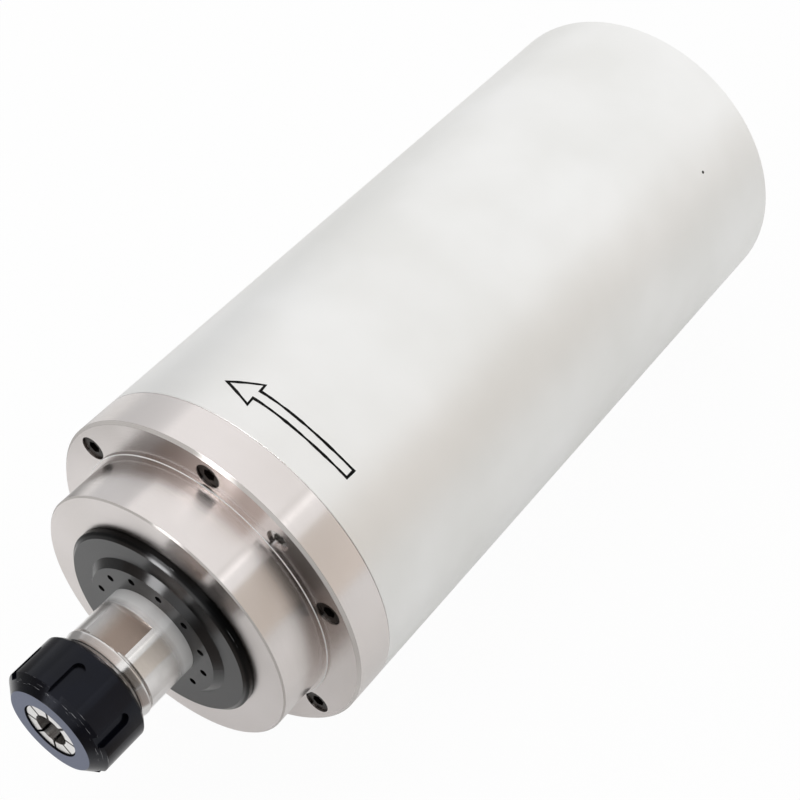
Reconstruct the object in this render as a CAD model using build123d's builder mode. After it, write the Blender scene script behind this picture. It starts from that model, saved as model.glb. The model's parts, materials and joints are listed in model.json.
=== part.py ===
from build123d import *
import os

os.makedirs("parts", exist_ok=True)

# Water-cooled motor spindle lying on its side. Millimetres, spindle axis on Y, nose towards -Y, +Z up.
# y = 0 is the seam between the front flange and the ground body tube.

# body
body_r = 62.5
tube_length = 250.0
flange_t = 15.6
flange_ledge = 13.2         # flange edge to the nose
flange_chamfer = 1.0
nose_length = 20.5
nose_chamfer = 0.5
root_step = 1.4
root_t = 1.1
seam_chamfer = 0.15
rim_chamfer = 0.8
shell_wall = 3.48
jacket_wall = 14.0
spigot_groove_y = 3.0
spigot_groove_w = 2.4
spigot_groove_depth = 1.8

# dust cover
cover_r = 37.0
cover_rim_w = 1.6
cover_chamfer = 1.4
cover_gap = 0.4
cover_t = 3.0
hub_root_r = 28.0
hub_r = 25.4
hub_proud = 2.2
cover_sleeve_r = 21.0
sleeve_seal_gap = 0.6
labyrinth_r = 29.75
labyrinth_w = 2.5
labyrinth_depth = 2.9
labyrinth_gap = 0.5
balance_pcd_r = 21.5
balance_holes = 12
balance_hole_r = 1.3
balance_depth = 4.2
balance_screw_sink = 0.8

# spindle nose
journal_length = 25.1       # hub face to the back of the nut
nose_shaft_r = 17.0
flat_af = 30.0
flat_length = 11.5
flat_margin = 3.4
groove_w = 0.5
groove_depth = 0.4
nose_thread_r = 16.0
thread_lead_in = 0.6
relief_depth = 0.8
relief_w = 2.0
relief_under_nut = 1.8

# collet nut and collet
nut_length = 20.5
nut_r = 20.4
nut_back_chamfer = 1.2
nut_cone = 3.7
nut_face_r = 16.0
nut_mouth_r = 10.4
nut_mouth_t = 0.9
nut_cone_bore_r = 13.0
nut_slots = 6
nut_slot_w = 4.4
nut_slot_depth = 1.6
nut_slot_back = 7.5
slot_angle = 81.0
ring_setback = 5.6
ring_r = 14.2
ring_bore_r = 11.7
ring_t = 1.4
ring_play = 0.2
shaft_setback = 2.1
collet_length = 34.0
collet_recess = 0.5
collet_bore_r = 6.0
collet_face_r = 9.9
collet_head_r = 12.5
collet_groove_r = 11.4
collet_relief = 0.8
collet_relief_length = 7.0
collet_slot_w = 0.9
collet_slot_length = 29.0
collet_cuts = 8
taper_mouth_r = 12.9
taper_tan = 0.1405          # 8 degree half angle
socket_bottom_gap = 0.4
shaft_bore_r = 8.6
drill_point = 4.0

# front bearing pair, 7007 size
bearing_setback = 12.5      # nose face to the first bearing
front_bore_r = 17.5
front_width = 14.0
front_ball_r = 3.7
front_ring_wall = 2.75
front_ball_count = 17
front_land = 2.45           # pitch circle to the lands of the rings
front_relief = 1.7
front_spacer_t = 4.0
ring_ledge = 5.0
ring_ledge_t = 3.0
shoulder_t = 6.0
shoulder_step = 3.5
retainer_t = 5.0

# rear bearing pair, 7005 size
rear_setback = 13.0         # last bearing to the rear plate's face
rear_bore_r = 12.5
rear_width = 12.0
rear_ball_r = 2.95
rear_ring_wall = 2.25
rear_ball_count = 15
rear_land = 2.0
rear_relief = 1.4
rear_spacer_t = 3.0

# shared by both pairs
cage_margin = 1.0
cage_t = 2.35
cage_pocket_gap = 0.1
spacer_step = 0.35

# motor
core_start = 50.0
core_rear_gap = 36.4        # core to the rear bearings
stator_slots = 24
yoke_t = 5.5
slot_depth = 9.5
tooth_tip_t = 4.0
slot_w = 5.0
slot_mouth_w = 1.8
slot_liner = 0.25
end_turn_wall_gap = 3.5
end_turn_length = 20.0
end_turn_round = 4.0
air_gap = 0.5
rotor_bars = 20
bar_r = 1.6
bar_cover = 1.1
end_ring_t = 10.0
rotor_section = 7.5
seat_overrun = 1.4
balance_ring_step = 1.5
balance_ring_t = 6.0
balance_ring_gap = 5.0
balance_tap_r = 1.25
balance_taps = 8

# water jacket
passages = 10
passage_start = 20.0
passage_end = 16.4
passage_depth = 5.5
rib_w = 6.0
rib_gap = 0.1               # flat rib tops to the round shell
turn_gap = 13.9
port_r = 2.8
port_depth = 18.0
ring_groove_start = 14.0
ring_groove_end = 6.0
ring_groove_w = 2.2
ring_groove_depth = 1.5

# rear end
rear_plate_t = 14.0
rear_recess = 3.6
hub_wall = 5.0
hub_cone = 2.0
rear_spigot_t = 4.5
rear_spigot_length = 5.0
sleeve_wall = 3.5
sleeve_lip = 1.4
sleeve_lip_w = 2.5
thermal_float = 1.0
spring_room = 3.0
sleeve_overrun = 2.0
sleeve_groove_w = 2.0
sleeve_groove_depth = 1.4
sleeve_groove_at = 5.0
spring_t = 1.4
spring_w = 1.8
spring_play = 0.1
lock_thread_step = 0.5
lock_thread_length = 9.0
lock_chamfer = 1.0
locknut_wall = 5.0
locknut_t = 6.6
locknut_slot_w = 4.0
locknut_slot_depth = 1.5
locknut_clear = 2.5
rear_boss_step = 8.5
rear_boss_t = 6.3
rear_boss_chamfer = 1.0
rear_roof_t = 3.4
boss_screw_inset = 5.0
terminal_inset = 11.0

# water fittings for 8 mm hose
fitting_inset = 13.0        # terminal space wall to the fittings
fitting_thread_r = 4.86
fitting_thread_length = 8.0
fitting_r = 7.0
fitting_hex_gap = 1.7
fitting_hex_t = 6.0
fitting_barrel_r = 6.6
fitting_barrel_length = 19.0
water_bore_r = 3.0
water_drill_r = 2.5
water_drill_wall = 0.9
hose_r = 4.1
hose_depth = 11.5
seal_pocket_r = 5.25
seal_wire_r = 0.5
collar_r = 5.2
collar_back = 3.1
collar_flange_r = 6.2
collar_flange_t = 1.5
collar_travel = 1.6

# power receptacle
socket_inset = 16.0
socket_r = 9.5
socket_bore_r = 8.0
socket_back_r = 8.8
socket_back = 5.8
socket_length = 12.7
socket_chamfer = 0.5
socket_flange = 24.0
socket_flange_t = 2.5
socket_corner_r = 3.0
socket_screw_pitch = 18.0
socket_window_r = 8.0
key_w = 1.8
insert_back = 5.4
insert_t = 9.0
pin_r = 1.0
pin_pitch = 5.94
pin_tail = 1.8
pin_sink = 2.8
lead_r = 1.3
earth_at = 24.0
washer_r = 4.5
washer_t = 0.8
pan_head_t = 2.6
pan_taper = 0.4
m4_length = 6.8

# fits
seat_gap = 0.02             # pieces assembled solid
run_gap = 0.05              # threads, tapers and slides
roll_gap = 0.3              # balls to raceways
screw_gap = 0.25            # screws in plain holes and counterbores
opening_gap = 0.2           # covers and what stands through them
overrun = 1.0               # cuts past the face they start from

# screws
m5_r, m5_head_r, m5_head_t, m5_hex = 2.5, 4.25, 5.0, 4.0
m4_r, m4_head_r, m4_head_t, m4_hex = 2.0, 3.5, 4.0, 3.0
m3_r, m3_head_r, m3_length = 1.5, 2.95, 6.0
slot_cut = 0.9
flange_screw_inset = 4.6    # root collar to the screw centres
flange_screw_count = 6
flange_angle = 23.0
flange_head_depth = 0.7     # heads below the flange face
flange_grip = 11.1
jack_inset = 3.9
jack_angle = 53.0
jack_r = 4.0
jack_hex = 4.0
jack_sink = 0.9
jack_length = 10.0
retainer_screw_count = 6
retainer_wall_gap = 3.0
retainer_lip = 6.4
retainer_grip = 10.0
plate_screw_inset = 7.0
plate_screw_count = 6
plate_grip = 11.4
cover_screw_count = 4
cover_grip = 7.5
head_depth = 0.4
tap_overrun = 0.6

# stations along Y
flange_y = -flange_t
nose_y = flange_y - nose_length
cover_back = nose_y - cover_gap
cover_face = cover_back - cover_t
hub_y = cover_face - hub_proud
nut_y0 = hub_y - journal_length
nut_y1 = nut_y0 - nut_length
relief_y = nut_y0 + relief_under_nut
flat_y = relief_y + relief_w + flat_margin
ring_y = nut_y1 + ring_setback
shaft_y = ring_y + shaft_setback
collet_y1 = nut_y1 + collet_recess
collet_y0 = collet_y1 + collet_length
front_y = nose_y + bearing_setback
front_end = front_y + 2 * front_width + front_spacer_t
plate_y = tube_length - rear_recess
jacket_end = plate_y - rear_plate_t
rear_end = plate_y - rear_setback
rear_y = rear_end - 2 * rear_width - rear_spacer_t
core_end = rear_y - core_rear_gap
core_length = core_end - core_start
cover_top = tube_length + rear_boss_t

# radii that follow
nose_r = body_r - flange_ledge
root_r = nose_r + root_step
shell_bore_r = body_r - shell_wall
jacket_r = shell_bore_r - seat_gap
passage_floor_r = jacket_r - passage_depth
jacket_bore_r = jacket_r - jacket_wall
spigot_r = jacket_bore_r - seat_gap
slot_bottom_r = jacket_bore_r - yoke_t
slot_top_r = slot_bottom_r - slot_depth
stator_bore_r = slot_top_r - tooth_tip_t
rotor_r = stator_bore_r - air_gap
seat_r = rotor_r - rotor_section
front_pitch_r = front_bore_r + front_ring_wall + roll_gap + front_ball_r
front_outer_r = 2 * front_pitch_r - front_bore_r
rear_pitch_r = rear_bore_r + rear_ring_wall + roll_gap + rear_ball_r
rear_outer_r = 2 * rear_pitch_r - rear_bore_r
shoulder_r = front_bore_r + shoulder_step
sleeve_r = rear_outer_r + sleeve_wall
locknut_r = rear_bore_r + locknut_wall
lock_thread_r = rear_bore_r - lock_thread_step
rear_boss_r = body_r - rear_boss_step
cover_pcd_r = rear_boss_r - boss_screw_inset
terminal_r = rear_boss_r - terminal_inset
flange_pcd_r = root_r + flange_screw_inset
jack_pcd_r = root_r + jack_inset
retainer_r = jacket_bore_r - retainer_wall_gap
retainer_pcd_r = (front_outer_r + retainer_r) / 2
plate_pcd_r = jacket_r - plate_screw_inset

# seats of the screw heads below their faces
flange_sink = m5_head_t + flange_head_depth
plate_sink = m5_head_t + head_depth
boss_sink = m4_head_t + head_depth

# planes: local Z runs towards the nose in one and towards the rear in the others
front_view = Plane.XZ
rear_view = Plane(origin=(0, 0, 0), x_dir=(-1, 0, 0), z_dir=(0, 1, 0))
socket_plane = Plane(origin=(0, cover_top, socket_inset - rear_boss_r), x_dir=(-1, 0, 0), z_dir=(0, 1, 0))
earth_plane = Plane(origin=(earth_at, cover_top, -earth_at), x_dir=(-1, 0, 0), z_dir=(0, 1, 0))
fitting_x = terminal_r - fitting_inset
fitting_spots = ((fitting_x, 0), (-fitting_x, 0))


def socket_screw(shank_r, head_r, head_t, hexagon, length):
    # cap screw on its seat: head up, shank down, hexagon socket in the head
    with BuildPart() as screw:
        Cylinder(head_r, head_t, align=(Align.CENTER, Align.CENTER, Align.MIN))
        Cylinder(shank_r, length, align=(Align.CENTER, Align.CENTER, Align.MAX))
        with BuildSketch(Plane.XY.offset(head_t)):
            RegularPolygon(hexagon / 2, 6, major_radius=False)
        extrude(amount=-head_t / 2, mode=Mode.SUBTRACT)
    return screw.part


def cross_screw(shank_r, top_r, under_r, head_t, length):
    # cross-slotted screw with its head's top at zero; the head tapers from top_r to under_r
    with BuildPart() as screw:
        Cone(under_r, top_r, head_t, align=(Align.CENTER, Align.CENTER, Align.MAX))
        with Locations((0, 0, -head_t)):
            Cylinder(shank_r, length, align=(Align.CENTER, Align.CENTER, Align.MAX))
        with BuildSketch():
            Rectangle(1.2 * top_r, slot_cut)
            Rectangle(slot_cut, 1.2 * top_r)
        extrude(amount=-head_t / 2, mode=Mode.SUBTRACT)
    return screw.part


# ---- collet nut ----
with BuildPart() as collet_nut:
    with BuildSketch(Plane.XY):
        with BuildLine():
            cone_y = ring_y - ring_play
            Polyline(
                (nut_mouth_r, nut_y1), (nut_face_r, nut_y1), (nut_r, nut_y1 + nut_cone),
                (nut_r, nut_y0 - nut_back_chamfer), (nut_r - nut_back_chamfer, nut_y0),
                (nose_thread_r + run_gap, nut_y0), (nose_thread_r + run_gap, ring_y + ring_t + ring_play),
                (ring_r + run_gap, ring_y + ring_t + ring_play), (ring_r + run_gap, cone_y),
                (nut_cone_bore_r, cone_y), (nut_mouth_r, nut_y1 + nut_mouth_t), close=True,
            )
        make_face()
    revolve(axis=Axis.Y)
    # spanner slots, round at the back and running out through the cone
    with Locations(front_view.offset(nut_slot_back - nut_y0)):
        with PolarLocations(nut_r - nut_slot_depth, nut_slots, start_angle=slot_angle):
            Cylinder(nut_slot_w / 2, 2 * nut_slot_w, rotation=(0, 90, 0),
                     align=(Align.CENTER, Align.CENTER, Align.MIN), mode=Mode.SUBTRACT)
            Box(2 * nut_slot_w, nut_slot_w, nut_length, align=(Align.MIN, Align.CENTER, Align.MIN),
                mode=Mode.SUBTRACT)
collet_nut.part.label = "collet_nut"
export_step(collet_nut.part, "parts/collet_nut.step")

# ring that sits in the nut and pulls the collet out with it
with BuildPart() as nut_ring:
    with BuildSketch(front_view.offset(-ring_y)):
        Circle(ring_r)
        Circle(ring_bore_r, mode=Mode.SUBTRACT)
    extrude(amount=-ring_t)
nut_ring.part.label = "nut_ring"
export_step(nut_ring.part, "parts/nut_ring.step")

# ---- spring collet, slotted from both ends ----
with BuildPart() as collet:
    with BuildSketch(Plane.XY):
        with BuildLine():
            taper_r = taper_mouth_r - run_gap
            relief_r = collet_bore_r + collet_relief
            Polyline(
                (collet_bore_r, collet_y1), (collet_face_r, collet_y1),
                (collet_head_r, ring_y - 3 * ring_play), (collet_head_r, ring_y - ring_play), (collet_groove_r, ring_y),
                (collet_groove_r, ring_y + ring_t + 2 * ring_play), (taper_r, shaft_y + run_gap),
                (taper_r - taper_tan * (collet_y0 - shaft_y), collet_y0), (relief_r, collet_y0),
                (relief_r, collet_y0 - collet_relief_length),
                (collet_bore_r, collet_y0 - collet_relief_length - collet_relief), close=True,
            )
        make_face()
    revolve(axis=Axis.Y)
    with Locations(front_view.offset(overrun - collet_y1)):
        with PolarLocations(0, collet_cuts):
            Box(2 * collet_head_r, collet_slot_w, collet_slot_length + overrun,
                align=(Align.MIN, Align.CENTER, Align.MAX), mode=Mode.SUBTRACT)
    with Locations(front_view.offset(-collet_y0 - overrun)):
        with PolarLocations(0, collet_cuts, start_angle=180 / collet_cuts):
            Box(2 * collet_head_r, collet_slot_w, collet_slot_length,
                align=(Align.MIN, Align.CENTER, Align.MIN), mode=Mode.SUBTRACT)
collet.part.label = "collet"
export_step(collet.part, "parts/collet.step")

# ---- shaft with taper socket, spanner flats, bearing seats and rotor seat ----
with BuildPart() as shaft:
    with BuildSketch(Plane.XY):
        with BuildLine():
            socket_y = collet_y0 + socket_bottom_gap
            groove_y = flat_y - groove_w
            front_seat_r = front_bore_r - seat_gap
            rear_seat_r = rear_bore_r - seat_gap
            rear_shaft_r = rear_bore_r + rear_land
            seat_end = core_end + end_ring_t + balance_ring_gap + balance_ring_t + seat_overrun
            Polyline(
                (taper_mouth_r, shaft_y), (nose_thread_r - thread_lead_in, shaft_y),
                (nose_thread_r, shaft_y + thread_lead_in), (nose_thread_r, relief_y),
                (nose_thread_r - relief_depth, relief_y), (nose_thread_r - relief_depth, relief_y + relief_w),
                (nose_shaft_r, relief_y + relief_w), (nose_shaft_r, groove_y - groove_w),
                (nose_shaft_r - groove_depth, groove_y - groove_w), (nose_shaft_r - groove_depth, groove_y),
                (nose_shaft_r, groove_y), (nose_shaft_r, cover_back), (front_seat_r, cover_back),
                (front_seat_r, front_end), (shoulder_r, front_end), (shoulder_r, front_end + shoulder_t),
                (seat_r, front_end + shoulder_t), (seat_r, seat_end), (rear_shaft_r, seat_end),
                (rear_shaft_r, rear_y), (rear_seat_r, rear_y), (rear_seat_r, rear_end),
                (lock_thread_r, rear_end), (lock_thread_r, rear_end + lock_thread_length - lock_chamfer),
                (lock_thread_r - lock_chamfer, rear_end + lock_thread_length),
                (0, rear_end + lock_thread_length), (0, front_y), (shaft_bore_r, front_y - drill_point),
                (shaft_bore_r, socket_y), (taper_mouth_r - taper_tan * (socket_y - shaft_y), socket_y),
                close=True,
            )
        make_face()
    revolve(axis=Axis.Y)
    for side in (1, -1):
        with Locations((0, flat_y, side * (flat_af + nose_shaft_r) / 2)):
            Box(3 * nose_shaft_r, flat_length, nose_shaft_r, align=(Align.CENTER, Align.MIN, Align.CENTER),
                mode=Mode.SUBTRACT)
shaft.part.label = "shaft"
export_step(shaft.part, "parts/shaft.step")

# ---- rotating dust cover with labyrinth ring and balancing holes ----
labyrinth_out = labyrinth_r + labyrinth_w / 2
labyrinth_in = labyrinth_r - labyrinth_w / 2
with BuildPart() as dust_cover:
    with BuildSketch(Plane.XY):
        with BuildLine():
            journal_r = nose_shaft_r + seat_gap
            sleeve_bore_r = front_bore_r + seat_gap
            Polyline(
                (journal_r, hub_y), (hub_r, hub_y), (hub_root_r, cover_face),
                (cover_r - cover_rim_w, cover_face), (cover_r, cover_face + cover_chamfer),
                (cover_r, cover_back), (labyrinth_out, cover_back),
                (labyrinth_out, cover_back + labyrinth_depth), (labyrinth_in, cover_back + labyrinth_depth),
                (labyrinth_in, cover_back), (cover_sleeve_r, cover_back), (cover_sleeve_r, front_y),
                (sleeve_bore_r, front_y), (sleeve_bore_r, cover_back), (journal_r, cover_back), close=True,
            )
        make_face()
    revolve(axis=Axis.Y)
    with Locations(front_view.offset(-hub_y)):
        with PolarLocations(balance_pcd_r, balance_holes, start_angle=180 / balance_holes):
            Hole(balance_hole_r, depth=balance_depth)
dust_cover.part.label = "dust_cover"
export_step(dust_cover.part, "parts/dust_cover.step")

with BuildPart() as balance_screws:
    for hole in (0, 5, 8):
        with BuildSketch(front_view.offset(-hub_y - balance_screw_sink)):
            with PolarLocations(balance_pcd_r, 1, start_angle=360 / balance_holes * (hole + 0.5)):
                Circle(balance_hole_r - seat_gap)
                RegularPolygon(balance_hole_r / 2, 6, mode=Mode.SUBTRACT)
        extrude(amount=balance_screw_sink - balance_depth)
balance_screws.part.label = "balance_screws"
export_step(balance_screws.part, "parts/balance_screws.step")

# ---- front housing: flange, nose and bearing seat in one turning ----
with BuildPart() as front_housing:
    with BuildSketch(Plane.XY):
        with BuildLine():
            bore_r = cover_sleeve_r + sleeve_seal_gap
            groove_in = labyrinth_in - labyrinth_gap
            groove_out = labyrinth_out + labyrinth_gap
            groove_bottom = nose_y + labyrinth_depth + opening_gap
            ledge_r = front_outer_r - ring_ledge
            seat_bore_r = front_outer_r + seat_gap
            spigot_floor = jacket_bore_r - spigot_groove_depth
            groove_end = spigot_groove_y + spigot_groove_w
            Polyline(
                (bore_r, nose_y), (groove_in, nose_y), (groove_in, groove_bottom), (groove_out, groove_bottom),
                (groove_out, nose_y), (nose_r - nose_chamfer, nose_y), (nose_r, nose_y + nose_chamfer),
                (nose_r, flange_y - root_t), (root_r, flange_y - root_t), (root_r, flange_y),
                (body_r - flange_chamfer, flange_y), (body_r, flange_y + flange_chamfer),
                (body_r, -seam_chamfer), (body_r - seam_chamfer, 0), (spigot_r, 0), (spigot_r, spigot_groove_y),
                (spigot_floor, spigot_groove_y), (spigot_floor, groove_end), (spigot_r, groove_end),
                (spigot_r, front_end), (seat_bore_r, front_end), (seat_bore_r, front_y), (ledge_r, front_y),
                (ledge_r, front_y - ring_ledge_t), (bore_r, front_y - ring_ledge_t), close=True,
            )
        make_face()
    revolve(axis=Axis.Y)
    with Locations(front_view.offset(-flange_y)):
        with PolarLocations(flange_pcd_r, flange_screw_count, start_angle=flange_angle):
            CounterBoreHole(m5_r + screw_gap, m5_head_r + screw_gap, flange_sink, depth=flange_t)
        with PolarLocations(jack_pcd_r, 2, start_angle=jack_angle):
            Hole(jack_r, depth=flange_t)
    with Locations(rear_view.offset(front_end)):
        with PolarLocations(retainer_pcd_r, retainer_screw_count):
            Hole(m4_r + seat_gap, depth=retainer_grip + tap_overrun)
front_housing.part.label = "front_housing"
export_step(front_housing.part, "parts/front_housing.step")

flange_screw = socket_screw(m5_r, m5_head_r, m5_head_t, m5_hex, flange_t - flange_sink + flange_grip)
with BuildPart() as flange_screws:
    with Locations(front_view.offset(-flange_y - flange_sink)):
        with PolarLocations(flange_pcd_r, flange_screw_count, start_angle=flange_angle):
            add(flange_screw)
flange_screws.part.label = "flange_screws"
export_step(flange_screws.part, "parts/flange_screws.step")

with BuildPart() as jack_screws:
    with BuildSketch(front_view.offset(-flange_y - jack_sink)):
        with PolarLocations(jack_pcd_r, 2, start_angle=jack_angle):
            Circle(jack_r - seat_gap)
    extrude(amount=-jack_length)
    with BuildSketch(front_view.offset(-flange_y - jack_sink)):
        with PolarLocations(jack_pcd_r, 2, start_angle=jack_angle):
            RegularPolygon(jack_hex / 2, 6, major_radius=False)
    extrude(amount=-jack_hex, mode=Mode.SUBTRACT)
jack_screws.part.label = "jack_screws"
export_step(jack_screws.part, "parts/jack_screws.step")

# ---- angular-contact bearing pairs: each pair has two rings, a row of balls and a cage at each end ----
pairs = (
    ("front", front_y, front_width, front_bore_r, front_outer_r, front_pitch_r, front_land, front_relief,
     front_ball_r, front_ball_count, front_spacer_t),
    ("rear", rear_y, rear_width, rear_bore_r, rear_outer_r, rear_pitch_r, rear_land, rear_relief,
     rear_ball_r, rear_ball_count, rear_spacer_t),
)
for name, start, width, bore_r, outer_r, pitch_r, land, relief, ball_r, ball_count, spacer_t in pairs:
    starts = (start, start + width + spacer_t)
    middles = [y + width / 2 for y in starts]
    inner_land_r = pitch_r - land
    outer_land_r = pitch_r + land

    with BuildPart() as outer_rings:
        with BuildSketch(Plane.XY):
            for y in starts:
                with BuildLine():
                    Polyline(
                        (outer_r, y), (outer_r, y + width), (outer_land_r + relief, y + width),
                        (outer_land_r, y + width / 2), (outer_land_r, y), close=True,
                    )
                make_face()
            with Locations(*[(pitch_r, y) for y in middles]):
                Circle(ball_r + roll_gap, mode=Mode.SUBTRACT)
        revolve(axis=Axis.Y)
    outer_rings.part.label = f"{name}_outer_rings"
    export_step(outer_rings.part, f"parts/{name}_outer_rings.step")

    with BuildPart() as inner_rings:
        with BuildSketch(Plane.XY):
            with Locations(*[((bore_r + inner_land_r) / 2, y) for y in middles]):
                Rectangle(inner_land_r - bore_r, width)
            with Locations(*[(pitch_r, y) for y in middles]):
                Circle(ball_r + roll_gap, mode=Mode.SUBTRACT)
        revolve(axis=Axis.Y)
    inner_rings.part.label = f"{name}_inner_rings"
    export_step(inner_rings.part, f"parts/{name}_inner_rings.step")

    with BuildPart() as balls:
        for y in middles:
            with Locations(front_view.offset(-y)):
                with PolarLocations(pitch_r, ball_count):
                    Sphere(ball_r)
    balls.part.label = f"{name}_balls"
    export_step(balls.part, f"parts/{name}_balls.step")

    with BuildPart() as cages:
        for y in starts:
            with BuildSketch(front_view.offset(-y - cage_margin)):
                Circle(pitch_r + cage_t / 2)
                Circle(pitch_r - cage_t / 2, mode=Mode.SUBTRACT)
            extrude(amount=2 * cage_margin - width)
        for y in middles:
            with Locations(front_view.offset(-y)):
                with PolarLocations(pitch_r, ball_count):
                    Cylinder(ball_r + cage_pocket_gap, 2 * cage_t, rotation=(0, 90, 0), mode=Mode.SUBTRACT)
    cages.part.label = f"{name}_cages"
    export_step(cages.part, f"parts/{name}_cages.step")

    with BuildPart() as spacer_outer:
        with BuildSketch(front_view.offset(-start - width)):
            Circle(outer_r)
            Circle(outer_land_r + spacer_step, mode=Mode.SUBTRACT)
        extrude(amount=-spacer_t)
    spacer_outer.part.label = f"{name}_spacer_outer"
    export_step(spacer_outer.part, f"parts/{name}_spacer_outer.step")

    with BuildPart() as spacer_inner:
        with BuildSketch(front_view.offset(-start - width)):
            Circle(inner_land_r - spacer_step)
            Circle(bore_r, mode=Mode.SUBTRACT)
        extrude(amount=-spacer_t)
    spacer_inner.part.label = f"{name}_spacer_inner"
    export_step(spacer_inner.part, f"parts/{name}_spacer_inner.step")

# ---- plate that holds the front pair, and its screws ----
with BuildPart() as bearing_retainer:
    with BuildSketch(rear_view.offset(front_end)):
        Circle(retainer_r)
        Circle(front_outer_r - retainer_lip, mode=Mode.SUBTRACT)
        with PolarLocations(retainer_pcd_r, retainer_screw_count):
            Circle(m4_r + screw_gap, mode=Mode.SUBTRACT)
    extrude(amount=retainer_t)
bearing_retainer.part.label = "bearing_retainer"
export_step(bearing_retainer.part, "parts/bearing_retainer.step")

retainer_screw = socket_screw(m4_r, m4_head_r, m4_head_t, m4_hex, retainer_t + retainer_grip)
with BuildPart() as retainer_screws:
    with Locations(rear_view.offset(front_end + retainer_t)):
        with PolarLocations(retainer_pcd_r, retainer_screw_count):
            add(retainer_screw)
retainer_screws.part.label = "retainer_screws"
export_step(retainer_screws.part, "parts/retainer_screws.step")

# ---- body tube ----
with BuildPart() as body_shell:
    with BuildSketch(Plane.XY):
        with BuildLine():
            Polyline(
                (shell_bore_r, 0), (body_r - seam_chamfer, 0), (body_r, seam_chamfer),
                (body_r, tube_length - rim_chamfer), (body_r - rim_chamfer, tube_length),
                (shell_bore_r, tube_length), close=True,
            )
        make_face()
    revolve(axis=Axis.Y)
body_shell.part.label = "body_shell"
export_step(body_shell.part, "parts/body_shell.step")

# ---- water jacket: axial passages joined end to end round both sides, from one port to the other ----
passage_stop = jacket_end - passage_end
groove_starts = (ring_groove_start, jacket_end - ring_groove_end - ring_groove_w)
with BuildPart() as water_jacket:
    with BuildSketch(Plane.XY):
        with Locations((jacket_bore_r, 0)):
            Rectangle(jacket_r - jacket_bore_r, jacket_end, align=(Align.MIN, Align.MIN))
        with Locations((passage_floor_r, passage_start)):
            Rectangle(passage_depth, passage_stop - passage_start, align=(Align.MIN, Align.MIN),
                      mode=Mode.SUBTRACT)
        with Locations(*[(jacket_r - ring_groove_depth, y) for y in groove_starts]):
            Rectangle(ring_groove_depth, ring_groove_w, align=(Align.MIN, Align.MIN), mode=Mode.SUBTRACT)
    revolve(axis=Axis.Y)
    for k in range(passages):
        open_at_front = k % (passages // 2) % 2 == 0
        rib_start = passage_start + turn_gap if open_at_front else passage_start - rib_gap
        with Locations(rear_view.offset(rib_start)):
            with PolarLocations(passage_floor_r - rib_gap, 1, start_angle=(k + 0.5) * 360 / passages):
                Box(passage_depth, rib_w, passage_stop - passage_start - turn_gap + rib_gap,
                    align=(Align.MIN, Align.CENTER, Align.MIN))
    with Locations(front_view):
        with PolarLocations(flange_pcd_r, flange_screw_count, start_angle=flange_angle):
            Hole(m5_r + seat_gap, depth=flange_grip + tap_overrun)
    with Locations(rear_view.offset(jacket_end)):
        with PolarLocations(plate_pcd_r, plate_screw_count, start_angle=180 / plate_screw_count):
            Hole(m5_r + seat_gap, depth=plate_grip + tap_overrun)
        with PolarLocations(passage_floor_r, 2):
            Hole(port_r, depth=port_depth)
water_jacket.part.label = "water_jacket"
export_step(water_jacket.part, "parts/water_jacket.step")

with BuildPart() as jacket_seals:
    with BuildSketch(Plane.XY):
        with Locations(*[(jacket_r - ring_groove_depth / 2, y + ring_groove_w / 2) for y in groove_starts]):
            Circle(ring_groove_depth / 2 - seat_gap)
    revolve(axis=Axis.Y)
jacket_seals.part.label = "jacket_seals"
export_step(jacket_seals.part, "parts/jacket_seals.step")

with BuildPart() as spigot_seal:
    with BuildSketch(Plane.XY):
        with Locations((jacket_bore_r - spigot_groove_depth / 2, spigot_groove_y + spigot_groove_w / 2)):
            Circle(spigot_groove_depth / 2 - seat_gap)
    revolve(axis=Axis.Y)
spigot_seal.part.label = "spigot_seal"
export_step(spigot_seal.part, "parts/spigot_seal.step")

# ---- stator ----
slot_middle_r = (slot_top_r + slot_bottom_r) / 2
with BuildPart() as stator_core:
    with BuildSketch(rear_view.offset(core_start)):
        Circle(spigot_r)
        Circle(stator_bore_r, mode=Mode.SUBTRACT)
        with PolarLocations(slot_middle_r, stator_slots):
            Rectangle(slot_depth, slot_w, mode=Mode.SUBTRACT)
        with PolarLocations(stator_bore_r, stator_slots):
            Rectangle(2 * tooth_tip_t + overrun, slot_mouth_w, mode=Mode.SUBTRACT)
    extrude(amount=core_length)
stator_core.part.label = "stator_core"
export_step(stator_core.part, "parts/stator_core.step")

end_turn_r = jacket_bore_r - end_turn_wall_gap
end_turn_w = end_turn_r - slot_top_r + slot_w / 10
with BuildPart() as windings:
    with BuildSketch(Plane.XY):
        with Locations(*[(end_turn_r - end_turn_w / 2, y)
                         for y in (core_start - end_turn_length / 2, core_end + end_turn_length / 2)]):
            RectangleRounded(end_turn_w, end_turn_length, min(end_turn_round, end_turn_w / 3))
    revolve(axis=Axis.Y)
    with BuildSketch(rear_view.offset(core_start - end_turn_round)):
        with PolarLocations(slot_middle_r, stator_slots):
            Rectangle(slot_depth - 2 * slot_liner, slot_w - 2 * slot_liner)
    extrude(amount=core_length + 2 * end_turn_round)
windings.part.label = "windings"
export_step(windings.part, "parts/windings.step")

# ---- rotor ----
bar_pcd_r = rotor_r - bar_cover - bar_r
with BuildPart() as rotor_core:
    with BuildSketch(rear_view.offset(core_start)):
        Circle(rotor_r)
        Circle(seat_r + seat_gap, mode=Mode.SUBTRACT)
        with PolarLocations(bar_pcd_r, rotor_bars):
            Circle(bar_r + run_gap, mode=Mode.SUBTRACT)
    extrude(amount=core_length)
rotor_core.part.label = "rotor_core"
export_step(rotor_core.part, "parts/rotor_core.step")

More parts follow.
